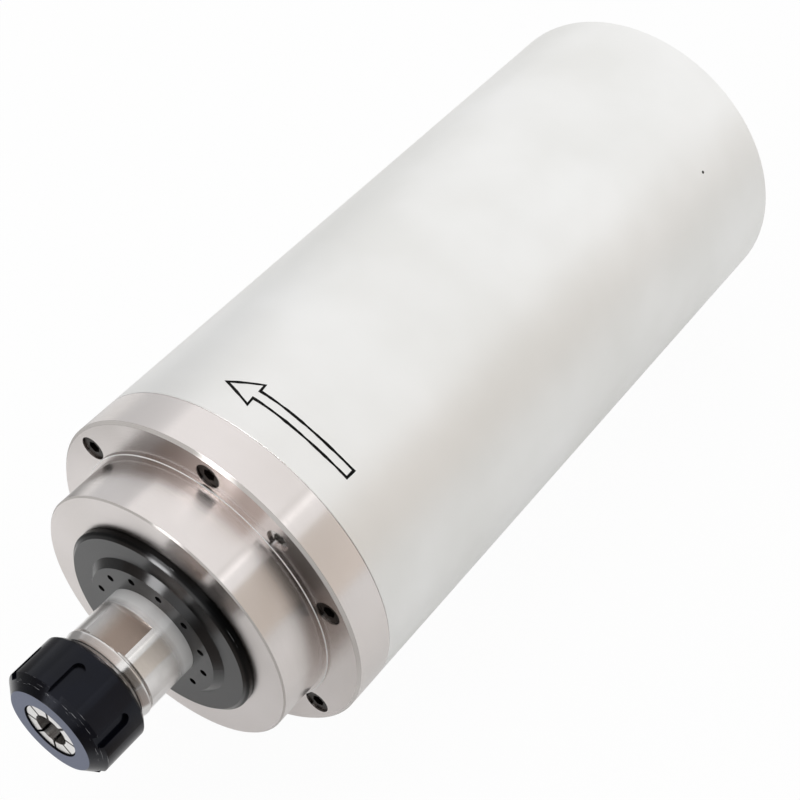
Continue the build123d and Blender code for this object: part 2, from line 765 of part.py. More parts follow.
with BuildPart() as rotor_cage:
    with BuildSketch(rear_view.offset(core_start - end_ring_t), rear_view.offset(core_end)):
        Circle(rotor_r - roll_gap)
        Circle(seat_r + 2 * opening_gap, mode=Mode.SUBTRACT)
    extrude(amount=end_ring_t)
    with BuildSketch(rear_view.offset(core_start - end_ring_t / 2)):
        with PolarLocations(bar_pcd_r, rotor_bars):
            Circle(bar_r)
    extrude(amount=core_length + end_ring_t)
rotor_cage.part.label = "rotor_cage"
export_step(rotor_cage.part, "parts/rotor_cage.step")

# balancing rings on the shaft at both ends of the rotor
balance_ring_r = rotor_r - balance_ring_step
balance_stations = (core_start - end_ring_t - balance_ring_gap - balance_ring_t,
                    core_end + end_ring_t + balance_ring_gap)
with BuildPart() as balance_rings:
    with BuildSketch(*[rear_view.offset(y) for y in balance_stations]):
        Circle(balance_ring_r)
        Circle(seat_r + seat_gap, mode=Mode.SUBTRACT)
        with PolarLocations((seat_r + balance_ring_r) / 2, balance_taps):
            Circle(balance_tap_r, mode=Mode.SUBTRACT)
    extrude(amount=balance_ring_t)
balance_rings.part.label = "balance_rings"
export_step(balance_rings.part, "parts/balance_rings.step")

# ---- rear housing: carries the rear bearings, the water ports and the rear cover ----
rear_hub_r = sleeve_r + hub_wall
sleeve_bore_r = sleeve_r + run_gap
lip_r = sleeve_r - sleeve_lip_w + roll_gap
hub_start = rear_y - sleeve_lip - spring_room
with BuildPart() as rear_housing:
    with BuildSketch(Plane.XY):
        with BuildLine():
            rear_spigot_r = jacket_bore_r - rear_spigot_t
            plate_r = shell_bore_r - run_gap
            pocket_end = rear_end + sleeve_overrun + thermal_float
            Polyline(
                (lip_r, hub_start), (rear_hub_r, hub_start), (rear_hub_r, jacket_end - hub_cone),
                (rear_hub_r + hub_cone, jacket_end), (rear_spigot_r, jacket_end),
                (rear_spigot_r, jacket_end - rear_spigot_length), (spigot_r, jacket_end - rear_spigot_length),
                (spigot_r, jacket_end), (plate_r, jacket_end), (plate_r, plate_y),
                (locknut_r + locknut_clear, plate_y), (locknut_r + locknut_clear, pocket_end),
                (sleeve_bore_r, pocket_end), (sleeve_bore_r, hub_start + sleeve_lip),
                (lip_r, hub_start + sleeve_lip), close=True,
            )
        make_face()
    revolve(axis=Axis.Y)
    with Locations(rear_view.offset(plate_y)):
        with PolarLocations(plate_pcd_r, plate_screw_count, start_angle=180 / plate_screw_count):
            CounterBoreHole(m5_r + screw_gap, m5_head_r + screw_gap, plate_sink, depth=rear_plate_t)
        with PolarLocations(cover_pcd_r, cover_screw_count, start_angle=180 / cover_screw_count):
            Hole(m4_r + seat_gap, depth=cover_grip + 2 * tap_overrun)
        # way for the leads, down the side of the hub
        with Locations((0, socket_inset - rear_boss_r)):
            Hole(socket_window_r, depth=plate_y - hub_start)
        # water: fitting thread, and the drilling under it
        with Locations(*fitting_spots):
            Hole(fitting_thread_r + seat_gap, depth=fitting_thread_length + opening_gap)
            Hole(water_drill_r, depth=rear_plate_t - water_drill_r)
    # cross drilling out to the jacket's port, on each side
    drill_y = jacket_end + water_drill_r + water_drill_wall
    for side in (1, -1):
        with BuildSketch(Plane(origin=(side * fitting_x, drill_y, 0), z_dir=(side, 0, 0))):
            Circle(water_drill_r)
        extrude(amount=passage_floor_r + water_drill_r - fitting_x, mode=Mode.SUBTRACT)
    with BuildSketch(rear_view.offset(jacket_end)):
        with PolarLocations(passage_floor_r, 2):
            Circle(water_drill_r)
    extrude(amount=drill_y - jacket_end, mode=Mode.SUBTRACT)
rear_housing.part.label = "rear_housing"
export_step(rear_housing.part, "parts/rear_housing.step")

plate_screw = socket_screw(m5_r, m5_head_r, m5_head_t, m5_hex, rear_plate_t - plate_sink + plate_grip)
with BuildPart() as rear_housing_screws:
    with Locations(rear_view.offset(plate_y - plate_sink)):
        with PolarLocations(plate_pcd_r, plate_screw_count, start_angle=180 / plate_screw_count):
            add(plate_screw)
rear_housing_screws.part.label = "rear_housing_screws"
export_step(rear_housing_screws.part, "parts/rear_housing_screws.step")

# floating sleeve that lets the shaft grow with heat, pushed back by a wave spring
sleeve_start = rear_y - sleeve_lip
sleeve_end = rear_end + sleeve_overrun
sleeve_grooves = (rear_y + sleeve_groove_at, rear_end - sleeve_groove_at - sleeve_groove_w)
with BuildPart() as bearing_sleeve:
    with BuildSketch(Plane.XY):
        with BuildLine():
            sleeve_seat_r = rear_outer_r + seat_gap
            Polyline(
                (rear_outer_r - sleeve_lip_w, sleeve_start), (sleeve_r, sleeve_start), (sleeve_r, sleeve_end),
                (sleeve_seat_r, sleeve_end), (sleeve_seat_r, rear_y), (rear_outer_r - sleeve_lip_w, rear_y),
                close=True,
            )
        make_face()
        with Locations(*[(sleeve_r - sleeve_groove_depth, y) for y in sleeve_grooves]):
            Rectangle(sleeve_groove_depth, sleeve_groove_w, align=(Align.MIN, Align.MIN), mode=Mode.SUBTRACT)
    revolve(axis=Axis.Y)
bearing_sleeve.part.label = "bearing_sleeve"
export_step(bearing_sleeve.part, "parts/bearing_sleeve.step")

with BuildPart() as sleeve_rings:
    with BuildSketch(Plane.XY):
        ring_middle_r = sleeve_r - sleeve_groove_depth / 2
        with Locations(*[(ring_middle_r, y + sleeve_groove_w / 2) for y in sleeve_grooves]):
            Circle(sleeve_groove_depth / 2 - seat_gap)
    revolve(axis=Axis.Y)
sleeve_rings.part.label = "sleeve_rings"
export_step(sleeve_rings.part, "parts/sleeve_rings.step")

with BuildPart() as preload_spring:
    with BuildSketch(rear_view.offset(sleeve_start - spring_t - spring_play)):
        Circle(sleeve_r - opening_gap)
        Circle(sleeve_r - opening_gap - spring_w, mode=Mode.SUBTRACT)
    extrude(amount=spring_t)
preload_spring.part.label = "preload_spring"
export_step(preload_spring.part, "parts/preload_spring.step")

with BuildPart() as rear_locknut:
    with BuildSketch(rear_view.offset(rear_end)):
        Circle(locknut_r)
        Circle(lock_thread_r + seat_gap, mode=Mode.SUBTRACT)
        with PolarLocations(locknut_r, 4):
            Rectangle(2 * locknut_slot_depth, locknut_slot_w, mode=Mode.SUBTRACT)
    extrude(amount=locknut_t)
rear_locknut.part.label = "rear_locknut"
export_step(rear_locknut.part, "parts/rear_locknut.step")

# ---- rear cover with the terminal space under it ----
with BuildPart() as rear_cover:
    with BuildSketch(Plane.XY):
        with BuildLine():
            skirt_r = shell_bore_r - opening_gap
            roof_y = cover_top - rear_roof_t
            Polyline(
                (0, cover_top), (rear_boss_r - rear_boss_chamfer, cover_top),
                (rear_boss_r, cover_top - rear_boss_chamfer), (rear_boss_r, tube_length),
                (skirt_r, tube_length), (skirt_r, plate_y), (terminal_r, plate_y), (terminal_r, roof_y),
                (0, roof_y), close=True,
            )
        make_face()
    revolve(axis=Axis.Y)
    cover_depth = cover_top - plate_y
    with Locations(rear_view.offset(cover_top)):
        with PolarLocations(cover_pcd_r, cover_screw_count, start_angle=180 / cover_screw_count):
            CounterBoreHole(m4_r + screw_gap, m4_head_r + screw_gap, boss_sink, depth=cover_depth)
        with Locations(*fitting_spots):
            Hole(fitting_r + 2 * opening_gap, depth=cover_depth)
    with Locations(socket_plane):
        Hole(socket_back_r + opening_gap, depth=cover_depth)
        with GridLocations(socket_screw_pitch, socket_screw_pitch, 2, 2):
            Hole(m3_r + seat_gap, depth=cover_depth)
    with Locations(earth_plane):
        Hole(m4_r + seat_gap, depth=rear_roof_t)
rear_cover.part.label = "rear_cover"
export_step(rear_cover.part, "parts/rear_cover.step")

cover_screw = socket_screw(m4_r, m4_head_r, m4_head_t, m4_hex, cover_depth - boss_sink + cover_grip)
with BuildPart() as rear_cover_screws:
    with Locations(rear_view.offset(cover_top - boss_sink)):
        with PolarLocations(cover_pcd_r, cover_screw_count, start_angle=180 / cover_screw_count):
            add(cover_screw)
rear_cover_screws.part.label = "rear_cover_screws"
export_step(rear_cover_screws.part, "parts/rear_cover_screws.step")

# earth point beside the receptacle: a pan-head screw on a washer
earth_cross_screw = cross_screw(m4_r, m4_head_r - pan_taper, m4_head_r, pan_head_t, m4_length)
with BuildPart() as earth_screw:
    with Locations(earth_plane):
        Cylinder(washer_r, washer_t, align=(Align.CENTER, Align.CENTER, Align.MIN))
    with Locations(earth_plane.offset(washer_t + pan_head_t)):
        add(earth_cross_screw)
earth_screw.part.label = "earth_screw"
export_step(earth_screw.part, "parts/earth_screw.step")

# ---- push-in water fittings: thread, round body, hexagon and barrel, with the hose's way through them ----
fitting_bore_y = cover_top + fitting_hex_gap
fitting_top = fitting_bore_y + fitting_barrel_length
pocket_y = fitting_bore_y + hose_depth
fitting_start = plate_y - fitting_thread_length
with BuildPart() as water_fittings:
    for y, end, r in (
        (fitting_start, plate_y, fitting_thread_r),
        (plate_y, fitting_bore_y, fitting_r),
        (fitting_bore_y, fitting_top, fitting_barrel_r),
    ):
        with BuildSketch(rear_view.offset(y)):
            with Locations(*fitting_spots):
                Circle(r)
        extrude(amount=end - y)
    with BuildSketch(rear_view.offset(fitting_bore_y)):
        with Locations(*fitting_spots):
            RegularPolygon(fitting_r, 6, major_radius=False)
    extrude(amount=fitting_hex_t)
    for y, r in ((fitting_start, water_bore_r), (fitting_bore_y, hose_r), (pocket_y, seal_pocket_r)):
        with BuildSketch(rear_view.offset(y)):
            with Locations(*fitting_spots):
                Circle(r)
        extrude(amount=fitting_top - y, mode=Mode.SUBTRACT)
water_fittings.part.label = "water_fittings"
export_step(water_fittings.part, "parts/water_fittings.step")

seal_y = pocket_y + seal_wire_r + run_gap
with BuildPart() as fitting_seals:
    with Locations(rear_view.offset(seal_y)):
        with Locations(*fitting_spots):
            Torus(seal_pocket_r - seal_wire_r - run_gap, seal_wire_r)
fitting_seals.part.label = "fitting_seals"
export_step(fitting_seals.part, "parts/fitting_seals.step")

# sprung collars that let the hose go when they are pushed in
for name, side in (("release_collar_in", -1), ("release_collar_out", 1)):
    with BuildPart() as release_collar:
        for y, end, r in (
            (pocket_y + collar_back, fitting_top + collar_travel, collar_r),
            (fitting_top + collar_travel, fitting_top + collar_travel + collar_flange_t, collar_flange_r),
        ):
            with BuildSketch(rear_view.offset(y)):
                with Locations((side * fitting_x, 0)):
                    Circle(r)
                    Circle(hose_r, mode=Mode.SUBTRACT)
            extrude(amount=end - y)
    release_collar.part.label = name
    export_step(release_collar.part, f"parts/{name}.step")

# ---- four-pin power receptacle ----
with BuildPart() as receptacle_shell:
    with BuildSketch(socket_plane):
        RectangleRounded(socket_flange, socket_flange, socket_corner_r)
    extrude(amount=socket_flange_t)
    with BuildSketch(socket_plane.offset(-socket_back)):
        Circle(socket_back_r)
    extrude(amount=socket_back)
    with BuildSketch(socket_plane):
        Circle(socket_r)
    extrude(amount=socket_length)
    chamfer(receptacle_shell.edges().group_by(Axis.Y)[-1], socket_chamfer)
    with BuildSketch(socket_plane.offset(-socket_back)):
        Circle(socket_bore_r)
    extrude(amount=socket_back + socket_length, mode=Mode.SUBTRACT)
    with Locations(socket_plane.offset(socket_flange_t)):
        with GridLocations(socket_screw_pitch, socket_screw_pitch, 2, 2):
            CounterSinkHole(m3_r + run_gap, m3_head_r + run_gap, depth=socket_flange_t, counter_sink_angle=90)
    # polarising key
    key_start = insert_t - insert_back + opening_gap
    with Locations(socket_plane.offset(key_start)):
        with Locations((0, socket_bore_r + opening_gap)):
            Box(key_w, key_w, socket_length - key_start - run_gap, align=(Align.CENTER, Align.MAX, Align.MIN))
receptacle_shell.part.label = "receptacle_shell"
export_step(receptacle_shell.part, "parts/receptacle_shell.step")

with BuildPart() as receptacle_insert:
    with BuildSketch(socket_plane.offset(-insert_back)):
        Circle(socket_bore_r - seat_gap)
        with GridLocations(pin_pitch, pin_pitch, 2, 2):
            Circle(pin_r + seat_gap, mode=Mode.SUBTRACT)
    extrude(amount=insert_t)
receptacle_insert.part.label = "receptacle_insert"
export_step(receptacle_insert.part, "parts/receptacle_insert.step")

pin_start = plate_y + pin_tail - cover_top
with BuildPart() as receptacle_pins:
    with BuildSketch(socket_plane.offset(pin_start)):
        with GridLocations(pin_pitch, pin_pitch, 2, 2):
            Circle(pin_r)
    extrude(amount=socket_length - pin_sink - pin_start)
receptacle_pins.part.label = "receptacle_pins"
export_step(receptacle_pins.part, "parts/receptacle_pins.step")

m3_head_t = m3_head_r - m3_r    # 90 degree countersunk head
receptacle_screw = cross_screw(m3_r, m3_head_r, m3_r, m3_head_t, m3_length)
with BuildPart() as receptacle_screws:
    with Locations(socket_plane.offset(socket_flange_t)):
        with GridLocations(socket_screw_pitch, socket_screw_pitch, 2, 2):
            add(receptacle_screw)
receptacle_screws.part.label = "receptacle_screws"
export_step(receptacle_screws.part, "parts/receptacle_screws.step")

# one lead from the windings to each phase pin
lead_start = core_end + end_turn_length - cover_top
with BuildPart() as power_leads:
    with BuildSketch(socket_plane.offset(lead_start)):
        with Locations(*[(x * pin_pitch / 2, z * pin_pitch / 2) for x, z in ((1, 1), (1, -1), (-1, -1))]):
            Circle(lead_r)
    extrude(amount=pin_start - lead_start)
power_leads.part.label = "power_leads"
export_step(power_leads.part, "parts/power_leads.step")
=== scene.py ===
import json
import math
import bpy
import numpy as np
from mathutils import Matrix, Vector


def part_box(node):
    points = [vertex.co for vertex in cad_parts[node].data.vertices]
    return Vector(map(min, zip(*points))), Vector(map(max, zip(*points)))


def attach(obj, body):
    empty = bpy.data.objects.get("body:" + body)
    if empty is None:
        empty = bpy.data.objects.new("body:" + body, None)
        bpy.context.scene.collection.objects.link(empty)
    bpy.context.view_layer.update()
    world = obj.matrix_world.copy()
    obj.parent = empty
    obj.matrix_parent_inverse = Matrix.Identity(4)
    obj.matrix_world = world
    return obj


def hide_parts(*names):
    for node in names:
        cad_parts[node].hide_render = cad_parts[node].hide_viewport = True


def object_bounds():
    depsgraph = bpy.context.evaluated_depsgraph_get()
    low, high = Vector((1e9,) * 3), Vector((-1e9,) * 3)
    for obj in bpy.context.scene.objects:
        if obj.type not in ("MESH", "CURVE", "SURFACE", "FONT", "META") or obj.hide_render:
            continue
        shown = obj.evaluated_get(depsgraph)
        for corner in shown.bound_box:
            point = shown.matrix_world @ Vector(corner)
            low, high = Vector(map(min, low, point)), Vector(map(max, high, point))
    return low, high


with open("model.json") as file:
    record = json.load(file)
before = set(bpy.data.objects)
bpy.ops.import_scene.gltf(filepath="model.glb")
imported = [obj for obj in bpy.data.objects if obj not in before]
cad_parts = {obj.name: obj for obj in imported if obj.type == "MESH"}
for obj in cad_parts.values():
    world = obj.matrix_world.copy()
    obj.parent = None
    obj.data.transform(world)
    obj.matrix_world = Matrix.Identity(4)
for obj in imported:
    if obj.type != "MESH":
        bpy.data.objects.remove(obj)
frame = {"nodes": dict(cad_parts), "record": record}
cadLow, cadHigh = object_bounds()
cadNodes = frame["nodes"]
mm = 0.001
noiseSpan = (0.35, 0.65)    # noise hardly leaves this part of 0 to 1, so it is stretched to a full range
print("frame loaded:", len(cadNodes), "nodes")


def linearColour(hexCode):
    # sRGB hex to the linear values that the shaders take
    srgb = np.array([int(hexCode[i:i + 2], 16) for i in (1, 3, 5)]) / 255
    linear = np.where(srgb <= 0.04045, srgb / 12.92, ((srgb + 0.055) / 1.055) ** 2.4)
    return (*linear.tolist(), 1.0)


def addNode(tree, kind, settings=None, links=None):
    # settings are the node's own attributes or its inputs' values, links go into its inputs
    node = tree.nodes.new(kind)
    for key, value in (settings or {}).items():
        if isinstance(value, str) and value.startswith("#"):
            value = linearColour(value)
        if isinstance(key, str) and hasattr(node, key):
            setattr(node, key, value)
        else:
            node.inputs[key].default_value = value
    for key, source in (links or {}).items():
        tree.links.new(source, node.inputs[key])
    return node


def ranges(fromLow, fromHigh, toLow=0, toHigh=1):
    # what a map range node is set to
    return {1: fromLow, 2: fromHigh, 3: toLow, 4: toHigh}


def newMaterial(name, settings):
    # a principled surface with the values that are the same all over it
    material = bpy.data.materials.new(name)
    material.use_nodes = True
    tree = material.node_tree
    shader = tree.nodes["Principled BSDF"]
    for key, value in settings.items():
        shader.inputs[key].default_value = value
    return material, tree, shader


def placeOf(tree):
    # where a point is, and how far from the spindle's axis, which is the y axis
    spot = addNode(tree, "ShaderNodeTexCoord").outputs["Object"]
    x, y, z = addNode(tree, "ShaderNodeSeparateXYZ", links={0: spot}).outputs
    flat = addNode(tree, "ShaderNodeCombineXYZ", links={0: x, 2: z}).outputs[0]
    radius = addNode(tree, "ShaderNodeVectorMath", {"operation": "LENGTH"}, {0: flat}).outputs["Value"]
    return dict(spot=spot, x=x, y=y, z=z, radius=radius)


def nearRing(tree, place, ringR, ringY, core, reach):
    # 1 within core of a ring round the axis, fading to 0 at reach
    meridian = addNode(tree, "ShaderNodeCombineXYZ", links={0: place["radius"], 1: place["y"]}).outputs[0]
    away = addNode(tree, "ShaderNodeVectorMath", {"operation": "DISTANCE", 1: (ringR, ringY, 0)},
                   {0: meridian}).outputs["Value"]
    return addNode(tree, "ShaderNodeMapRange", ranges(core, reach, 1, 0), {0: away}).outputs[0]


def latheLines(tree, place, spacing, drift=0.02, slope=1.6):
    # rings round the axis on cylinders and faces alike: noise over y + slope x radius, slow along x and z
    ring = addNode(tree, "ShaderNodeMath", {"operation": "MULTIPLY_ADD", 1: slope},
                   {0: place["radius"], 2: place["y"]}).outputs[0]
    slow = [addNode(tree, "ShaderNodeMath", {"operation": "MULTIPLY", 1: drift}, {0: place[side]}).outputs[0]
            for side in ("x", "z")]
    where = addNode(tree, "ShaderNodeCombineXYZ", links={0: slow[0], 1: ring, 2: slow[1]}).outputs[0]
    return addNode(tree, "ShaderNodeTexNoise", {"Scale": 1 / spacing, "Detail": 2.0},
                   {"Vector": where}).outputs[0]


def latheGrain(tree, place, shader, quarterTurn=0.25):
    # the tool's rings scatter light across themselves, so a reflection is drawn out along the axis on a
    # cylinder and along the radius on a face. The tangent runs round the axis, a quarter turn sets it across
    around = addNode(tree, "ShaderNodeVectorMath", {"operation": "CROSS_PRODUCT", 1: (0, 1, 0)},
                     {0: place["spot"]})
    turned = addNode(tree, "ShaderNodeVectorTransform",
                     {"vector_type": "VECTOR", "convert_from": "OBJECT", "convert_to": "WORLD"},
                     {0: around.outputs[0]})
    shader.inputs["Anisotropic Rotation"].default_value = quarterTurn
    tree.links.new(turned.outputs[0], shader.inputs["Tangent"])


def dress(tree, shader, look, tone, gloss, height=None):
    # what every finish here has: its colour goes over to its shade with the first pattern, its roughness
    # runs between two values with the second, and its relief follows the third
    share = addNode(tree, "ShaderNodeMapRange", ranges(*look.get("toneSpan", noiseSpan)), {0: tone})
    colour = addNode(tree, "ShaderNodeMix", {"data_type": "RGBA", 6: look["colour"], 7: look["shade"]},
                     {0: share.outputs[0]})
    roughness = addNode(tree, "ShaderNodeMapRange", ranges(*noiseSpan, *look["gloss"]), {0: gloss})
    tree.links.new(colour.outputs[2], shader.inputs["Base Color"])
    tree.links.new(roughness.outputs[0], shader.inputs["Roughness"])
    if height:
        bump = addNode(tree, "ShaderNodeBump",
                       {"Strength": look.get("relief", 1.0), "Distance": look["depth"]}, {"Height": height})
        tree.links.new(bump.outputs[0], shader.inputs["Normal"])


def repaint(material, mask, paint):
    # lays a hex colour, or the colour that another node puts out, over the base where the mask is 1
    tree = material.node_tree
    base = tree.nodes["Principled BSDF"].inputs["Base Color"]
    settings, links = {"data_type": "RGBA"}, {0: mask, 6: base.links[0].from_socket}
    if isinstance(paint, str):
        settings[7] = paint
    else:
        links[7] = paint
    tree.links.new(addNode(tree, "ShaderNodeMix", settings, links).outputs[2], base)


def turnedMetal(name, look):
    # metal off a lathe or grinder: fine rings in gloss and height, and a slow cloudy change of tone
    material, tree, shader = newMaterial(name, {"Metallic": 1.0, "Anisotropic": look["grain"]})
    place = placeOf(tree)
    rings = latheLines(tree, place, look["ringSpacing"])
    cloud = addNode(tree, "ShaderNodeTexNoise", {"Scale": 1 / look["cloudSize"], "Detail": 3.0},
                    {"Vector": place["spot"]}).outputs[0]
    dress(tree, shader, look, cloud, rings, rings)
    drift = addNode(tree, "ShaderNodeMapRange",
                    ranges(*noiseSpan, -look["glossDrift"], look["glossDrift"]), {0: cloud})
    roughness = shader.inputs["Roughness"]
    drifting = addNode(tree, "ShaderNodeMath", {"operation": "ADD"},
                       {0: roughness.links[0].from_socket, 1: drift.outputs[0]})
    tree.links.new(drifting.outputs[0], roughness)
    latheGrain(tree, place, shader)
    return material


def grainedSurface(name, look, grainDetail, settings):
    # no direction in the surface, only fine grain in gloss and height, and slow patches of tone
    material, tree, shader = newMaterial(name, settings)
    spot = placeOf(tree)["spot"]
    grain = addNode(tree, "ShaderNodeTexNoise", {"Scale": 1 / look["grainSize"], "Detail": grainDetail},
                    {"Vector": spot}).outputs[0]
    cloud = addNode(tree, "ShaderNodeTexNoise", {"Scale": 1 / look["cloudSize"], "Detail": 2.0},
                    {"Vector": spot}).outputs[0]
    dress(tree, shader, look, cloud, grain, grain)
    return material


def platedMetal(name, look):
    # small plated, cast or tumbled parts: fine grain and slight tarnish
    return grainedSurface(name, look, 3.0, {"Metallic": 1.0})


def mouldedPlastic(name, look):
    # plastic or rubber from a mould: the mould's spark-eroded grain, and a dull bloom in patches
    return grainedSurface(name, look, 4.0, {"IOR": look["ior"]})


def coatedBlack(name, look):
    # black oxide or anodising over machined metal: the rings of the turning show through the coating
    material, tree, shader = newMaterial(name, {"IOR": look["ior"], "Anisotropic": look["grain"],
                                                "Specular Tint": linearColour(look["cast"])})
    place = placeOf(tree)
    rings = latheLines(tree, place, look["ringSpacing"])
    cloud = addNode(tree, "ShaderNodeTexNoise", {"Scale": 1 / look["cloudSize"], "Detail": 3.0},
                    {"Vector": place["spot"]}).outputs[0]
    dress(tree, shader, look, cloud, rings, rings)
    latheGrain(tree, place, shader)
    return material


def rubEdges(material, rub):
    # the coating has rubbed through along the edges that are handled: lathe lines, cut off at a level, show
    # as bare scuffs near each edge, which is a radius, a y and how far the rubbing reaches
    tree = material.node_tree
    place = placeOf(tree)
    lines = latheLines(tree, place, rub["width"], rub["width"] / rub["length"])
    scuffs = addNode(tree, "ShaderNodeMapRange", ranges(rub["level"], rub["level"] + rub["fade"]), {0: lines})
    for edgeR, edgeY, reach in rub["edges"]:
        near = nearRing(tree, place, edgeR, edgeY, rub["core"] * reach, reach)
        bare = addNode(tree, "ShaderNodeMath", {"operation": "MULTIPLY"}, {0: near, 1: scuffs.outputs[0]})
        repaint(material, bare.outputs[0], rub["bareMetal"])


# stainless tube, ground and then polished with a belt: pale and satin, with a cloudy sheen
tubeSteel = turnedMetal("groundStainless", dict(
    colour="#F4F4F3", shade="#EEEEEC", gloss=(0.45, 0.47), glossDrift=0.03, grain=0.3,
    ringSpacing=0.35 * mm, depth=0.0003 * mm, cloudSize=60 * mm))


def nickTube():
    # one small dark nick near the tube's rear end
    nick = dict(radius=62.5 * mm, degrees=39.4, y=214.9 * mm, core=0.49 * mm, reach=0.7 * mm,
                colour="#2A2826")
    angle = math.radians(nick["degrees"])
    centre = (nick["radius"] * math.cos(angle), nick["y"], nick["radius"] * math.sin(angle))
    tree = tubeSteel.node_tree
    away = addNode(tree, "ShaderNodeVectorMath", {"operation": "DISTANCE", 1: centre},
                   {0: placeOf(tree)["spot"]}).outputs["Value"]
    mask = addNode(tree, "ShaderNodeMapRange", ranges(nick["core"], nick["reach"], 1, 0), {0: away})
    repaint(tubeSteel, mask.outputs[0], nick["colour"])


nickTube()

# tool steel turned in a lathe and polished: mirror-like, with fine rings, a little warm
housingSteel = turnedMetal("polishedHousingSteel", dict(
    colour="#E7E1DF", shade="#DFD9D6", gloss=(0.21, 0.24), glossDrift=0.02, grain=0.9,
    ringSpacing=0.45 * mm, depth=0.0006 * mm, cloudSize=45 * mm))   # real feed is 0.1 mm, drawn coarser


def paintHousingEdgeHighlights():
    # three turned edges carry painted highlights: matt pale lines, white at the root collar, that stand in
    # for the glint of each edge. Each is a radius, a y, how far the painted line reaches, and its colour
    edgeHighlights = dict(metallic=0.1, core=0.8, edges=(
        (50.7 * mm, -16.7 * mm, 0.33 * mm, "#FFFFFF"), (62.0 * mm, -15.1 * mm, 0.75 * mm, "#D0CBC7"),
        (49.05 * mm, -35.85 * mm, 0.4 * mm, "#C8C3BF")))
    tree = housingSteel.node_tree
    place = placeOf(tree)
    masks = []
    for edgeR, edgeY, reach, colour in edgeHighlights["edges"]:
        masks.append(nearRing(tree, place, edgeR, edgeY, edgeHighlights["core"] * reach, reach))
        repaint(housingSteel, masks[-1], colour)
    share = masks[0]
    for mask in masks[1:]:
        share = addNode(tree, "ShaderNodeMath", {"operation": "MAXIMUM"}, {0: share, 1: mask}).outputs[0]
    metallic = addNode(tree, "ShaderNodeMapRange", ranges(0, 1, 1, edgeHighlights["metallic"]), {0: share})
    tree.links.new(metallic.outputs[0], tree.nodes["Principled BSDF"].inputs["Metallic"])


paintHousingEdgeHighlights()

# hardened steel, cylindrically ground: bright with close rings
groundSteel = turnedMetal("groundHardenedSteel", dict(
    colour="#F1EFEE", shade="#E6E4E2", gloss=(0.19, 0.22), glossDrift=0.02, grain=0.95,
    ringSpacing=0.3 * mm, depth=0.0006 * mm, cloudSize=18 * mm))


def shaftSteel():
    # the shaft is ground like the rest, its two spanner flats milled and given a painted reflection, pale to
    # brown
    flats = dict(z=15.0 * mm, slack=0.02 * mm, back=-48.0 * mm, front=-61.2 * mm, colour="#9A8C82",
                 paleReflection="#ADACAB", paleReflectionAt=-8 * mm, brownReflectionAt=0 * mm)
    material = groundSteel.copy()
    material.name = "groundShaftSteel"
    tree = material.node_tree
    place = placeOf(tree)
    height = addNode(tree, "ShaderNodeMath", {"operation": "ABSOLUTE"}, {0: place["z"]})
    onFlat = addNode(tree, "ShaderNodeMath", {"operation": "COMPARE", 1: flats["z"], 2: flats["slack"]},
                     {0: height.outputs[0]})
    middle, halfLength = (flats["back"] + flats["front"]) / 2, (flats["back"] - flats["front"]) / 2
    between = addNode(tree, "ShaderNodeMath", {"operation": "COMPARE", 1: middle, 2: halfLength},
                      {0: place["y"]})
    mask = addNode(tree, "ShaderNodeMath", {"operation": "MULTIPLY"},
                   {0: onFlat.outputs[0], 1: between.outputs[0]})
    # painted reflection on the flats: pale grey at x = -8 mm going over to brown from x = 0
    across = addNode(tree, "ShaderNodeMapRange",
                     {"interpolation_type": "SMOOTHSTEP", **ranges(flats["paleReflectionAt"], flats["brownReflectionAt"])},
                     {0: place["x"]})
    flatReflection = addNode(tree, "ShaderNodeMix", {"data_type": "RGBA", 6: flats["paleReflection"], 7: flats["colour"]},
                    {0: across.outputs[0]})
    repaint(material, mask.outputs[0], flatReflection.outputs[2])
    # next to the dust cover a painted sheen: the journal turns white and less metallic, a pale band
    paintedSheen = dict(start=-49.0 * mm, full=-45.5 * mm, share=0.65, colour="#FFFFFF")
    sheenShare = addNode(tree, "ShaderNodeMapRange", ranges(paintedSheen["start"], paintedSheen["full"], 0, paintedSheen["share"]),
                   {0: place["y"]})
    repaint(material, sheenShare.outputs[0], paintedSheen["colour"])
    metallic = addNode(tree, "ShaderNodeMath", {"operation": "SUBTRACT", 0: 1}, {1: sheenShare.outputs[0]})
    tree.links.new(metallic.outputs[0], tree.nodes["Principled BSDF"].inputs["Metallic"])
    return material


# bearing steel, ground and lapped: the smoothest metal here, slightly blue
bearingSteel = turnedMetal("lappedBearingSteel", dict(
    colour="#D6D8DB", shade="#C9CBCF", gloss=(0.05, 0.10), glossDrift=0.01, grain=0.3,
    ringSpacing=0.25 * mm, depth=0.0002 * mm, cloudSize=12 * mm))

# aluminium bar, turned and left bare: soft grey-white with wider rings
jacketAlloy = turnedMetal("turnedAluminium", dict(
    colour="#DCDDDF", shade="#CDCFD1", gloss=(0.26, 0.38), glossDrift=0.04, grain=0.7,
    ringSpacing=0.7 * mm, depth=0.0020 * mm, cloudSize=40 * mm))

# aluminium cover, fine turned and clear anodised: even, slightly grey
coverAlloy = turnedMetal("anodisedAluminium", dict(
    colour="#D9DADB", shade="#CDCECF", gloss=(0.24, 0.32), glossDrift=0.03, grain=0.7,
    ringSpacing=0.45 * mm, depth=0.0010 * mm, cloudSize=30 * mm))

# brass with a thin flash of gold, turned: warm yellow with a clean gloss
pinBrass = turnedMetal("turnedBrass", dict(
    colour="#E6C98A", shade="#D2AE68", gloss=(0.16, 0.26), glossDrift=0.03, grain=0.6,
    ringSpacing=0.4 * mm, depth=0.0008 * mm, cloudSize=15 * mm))

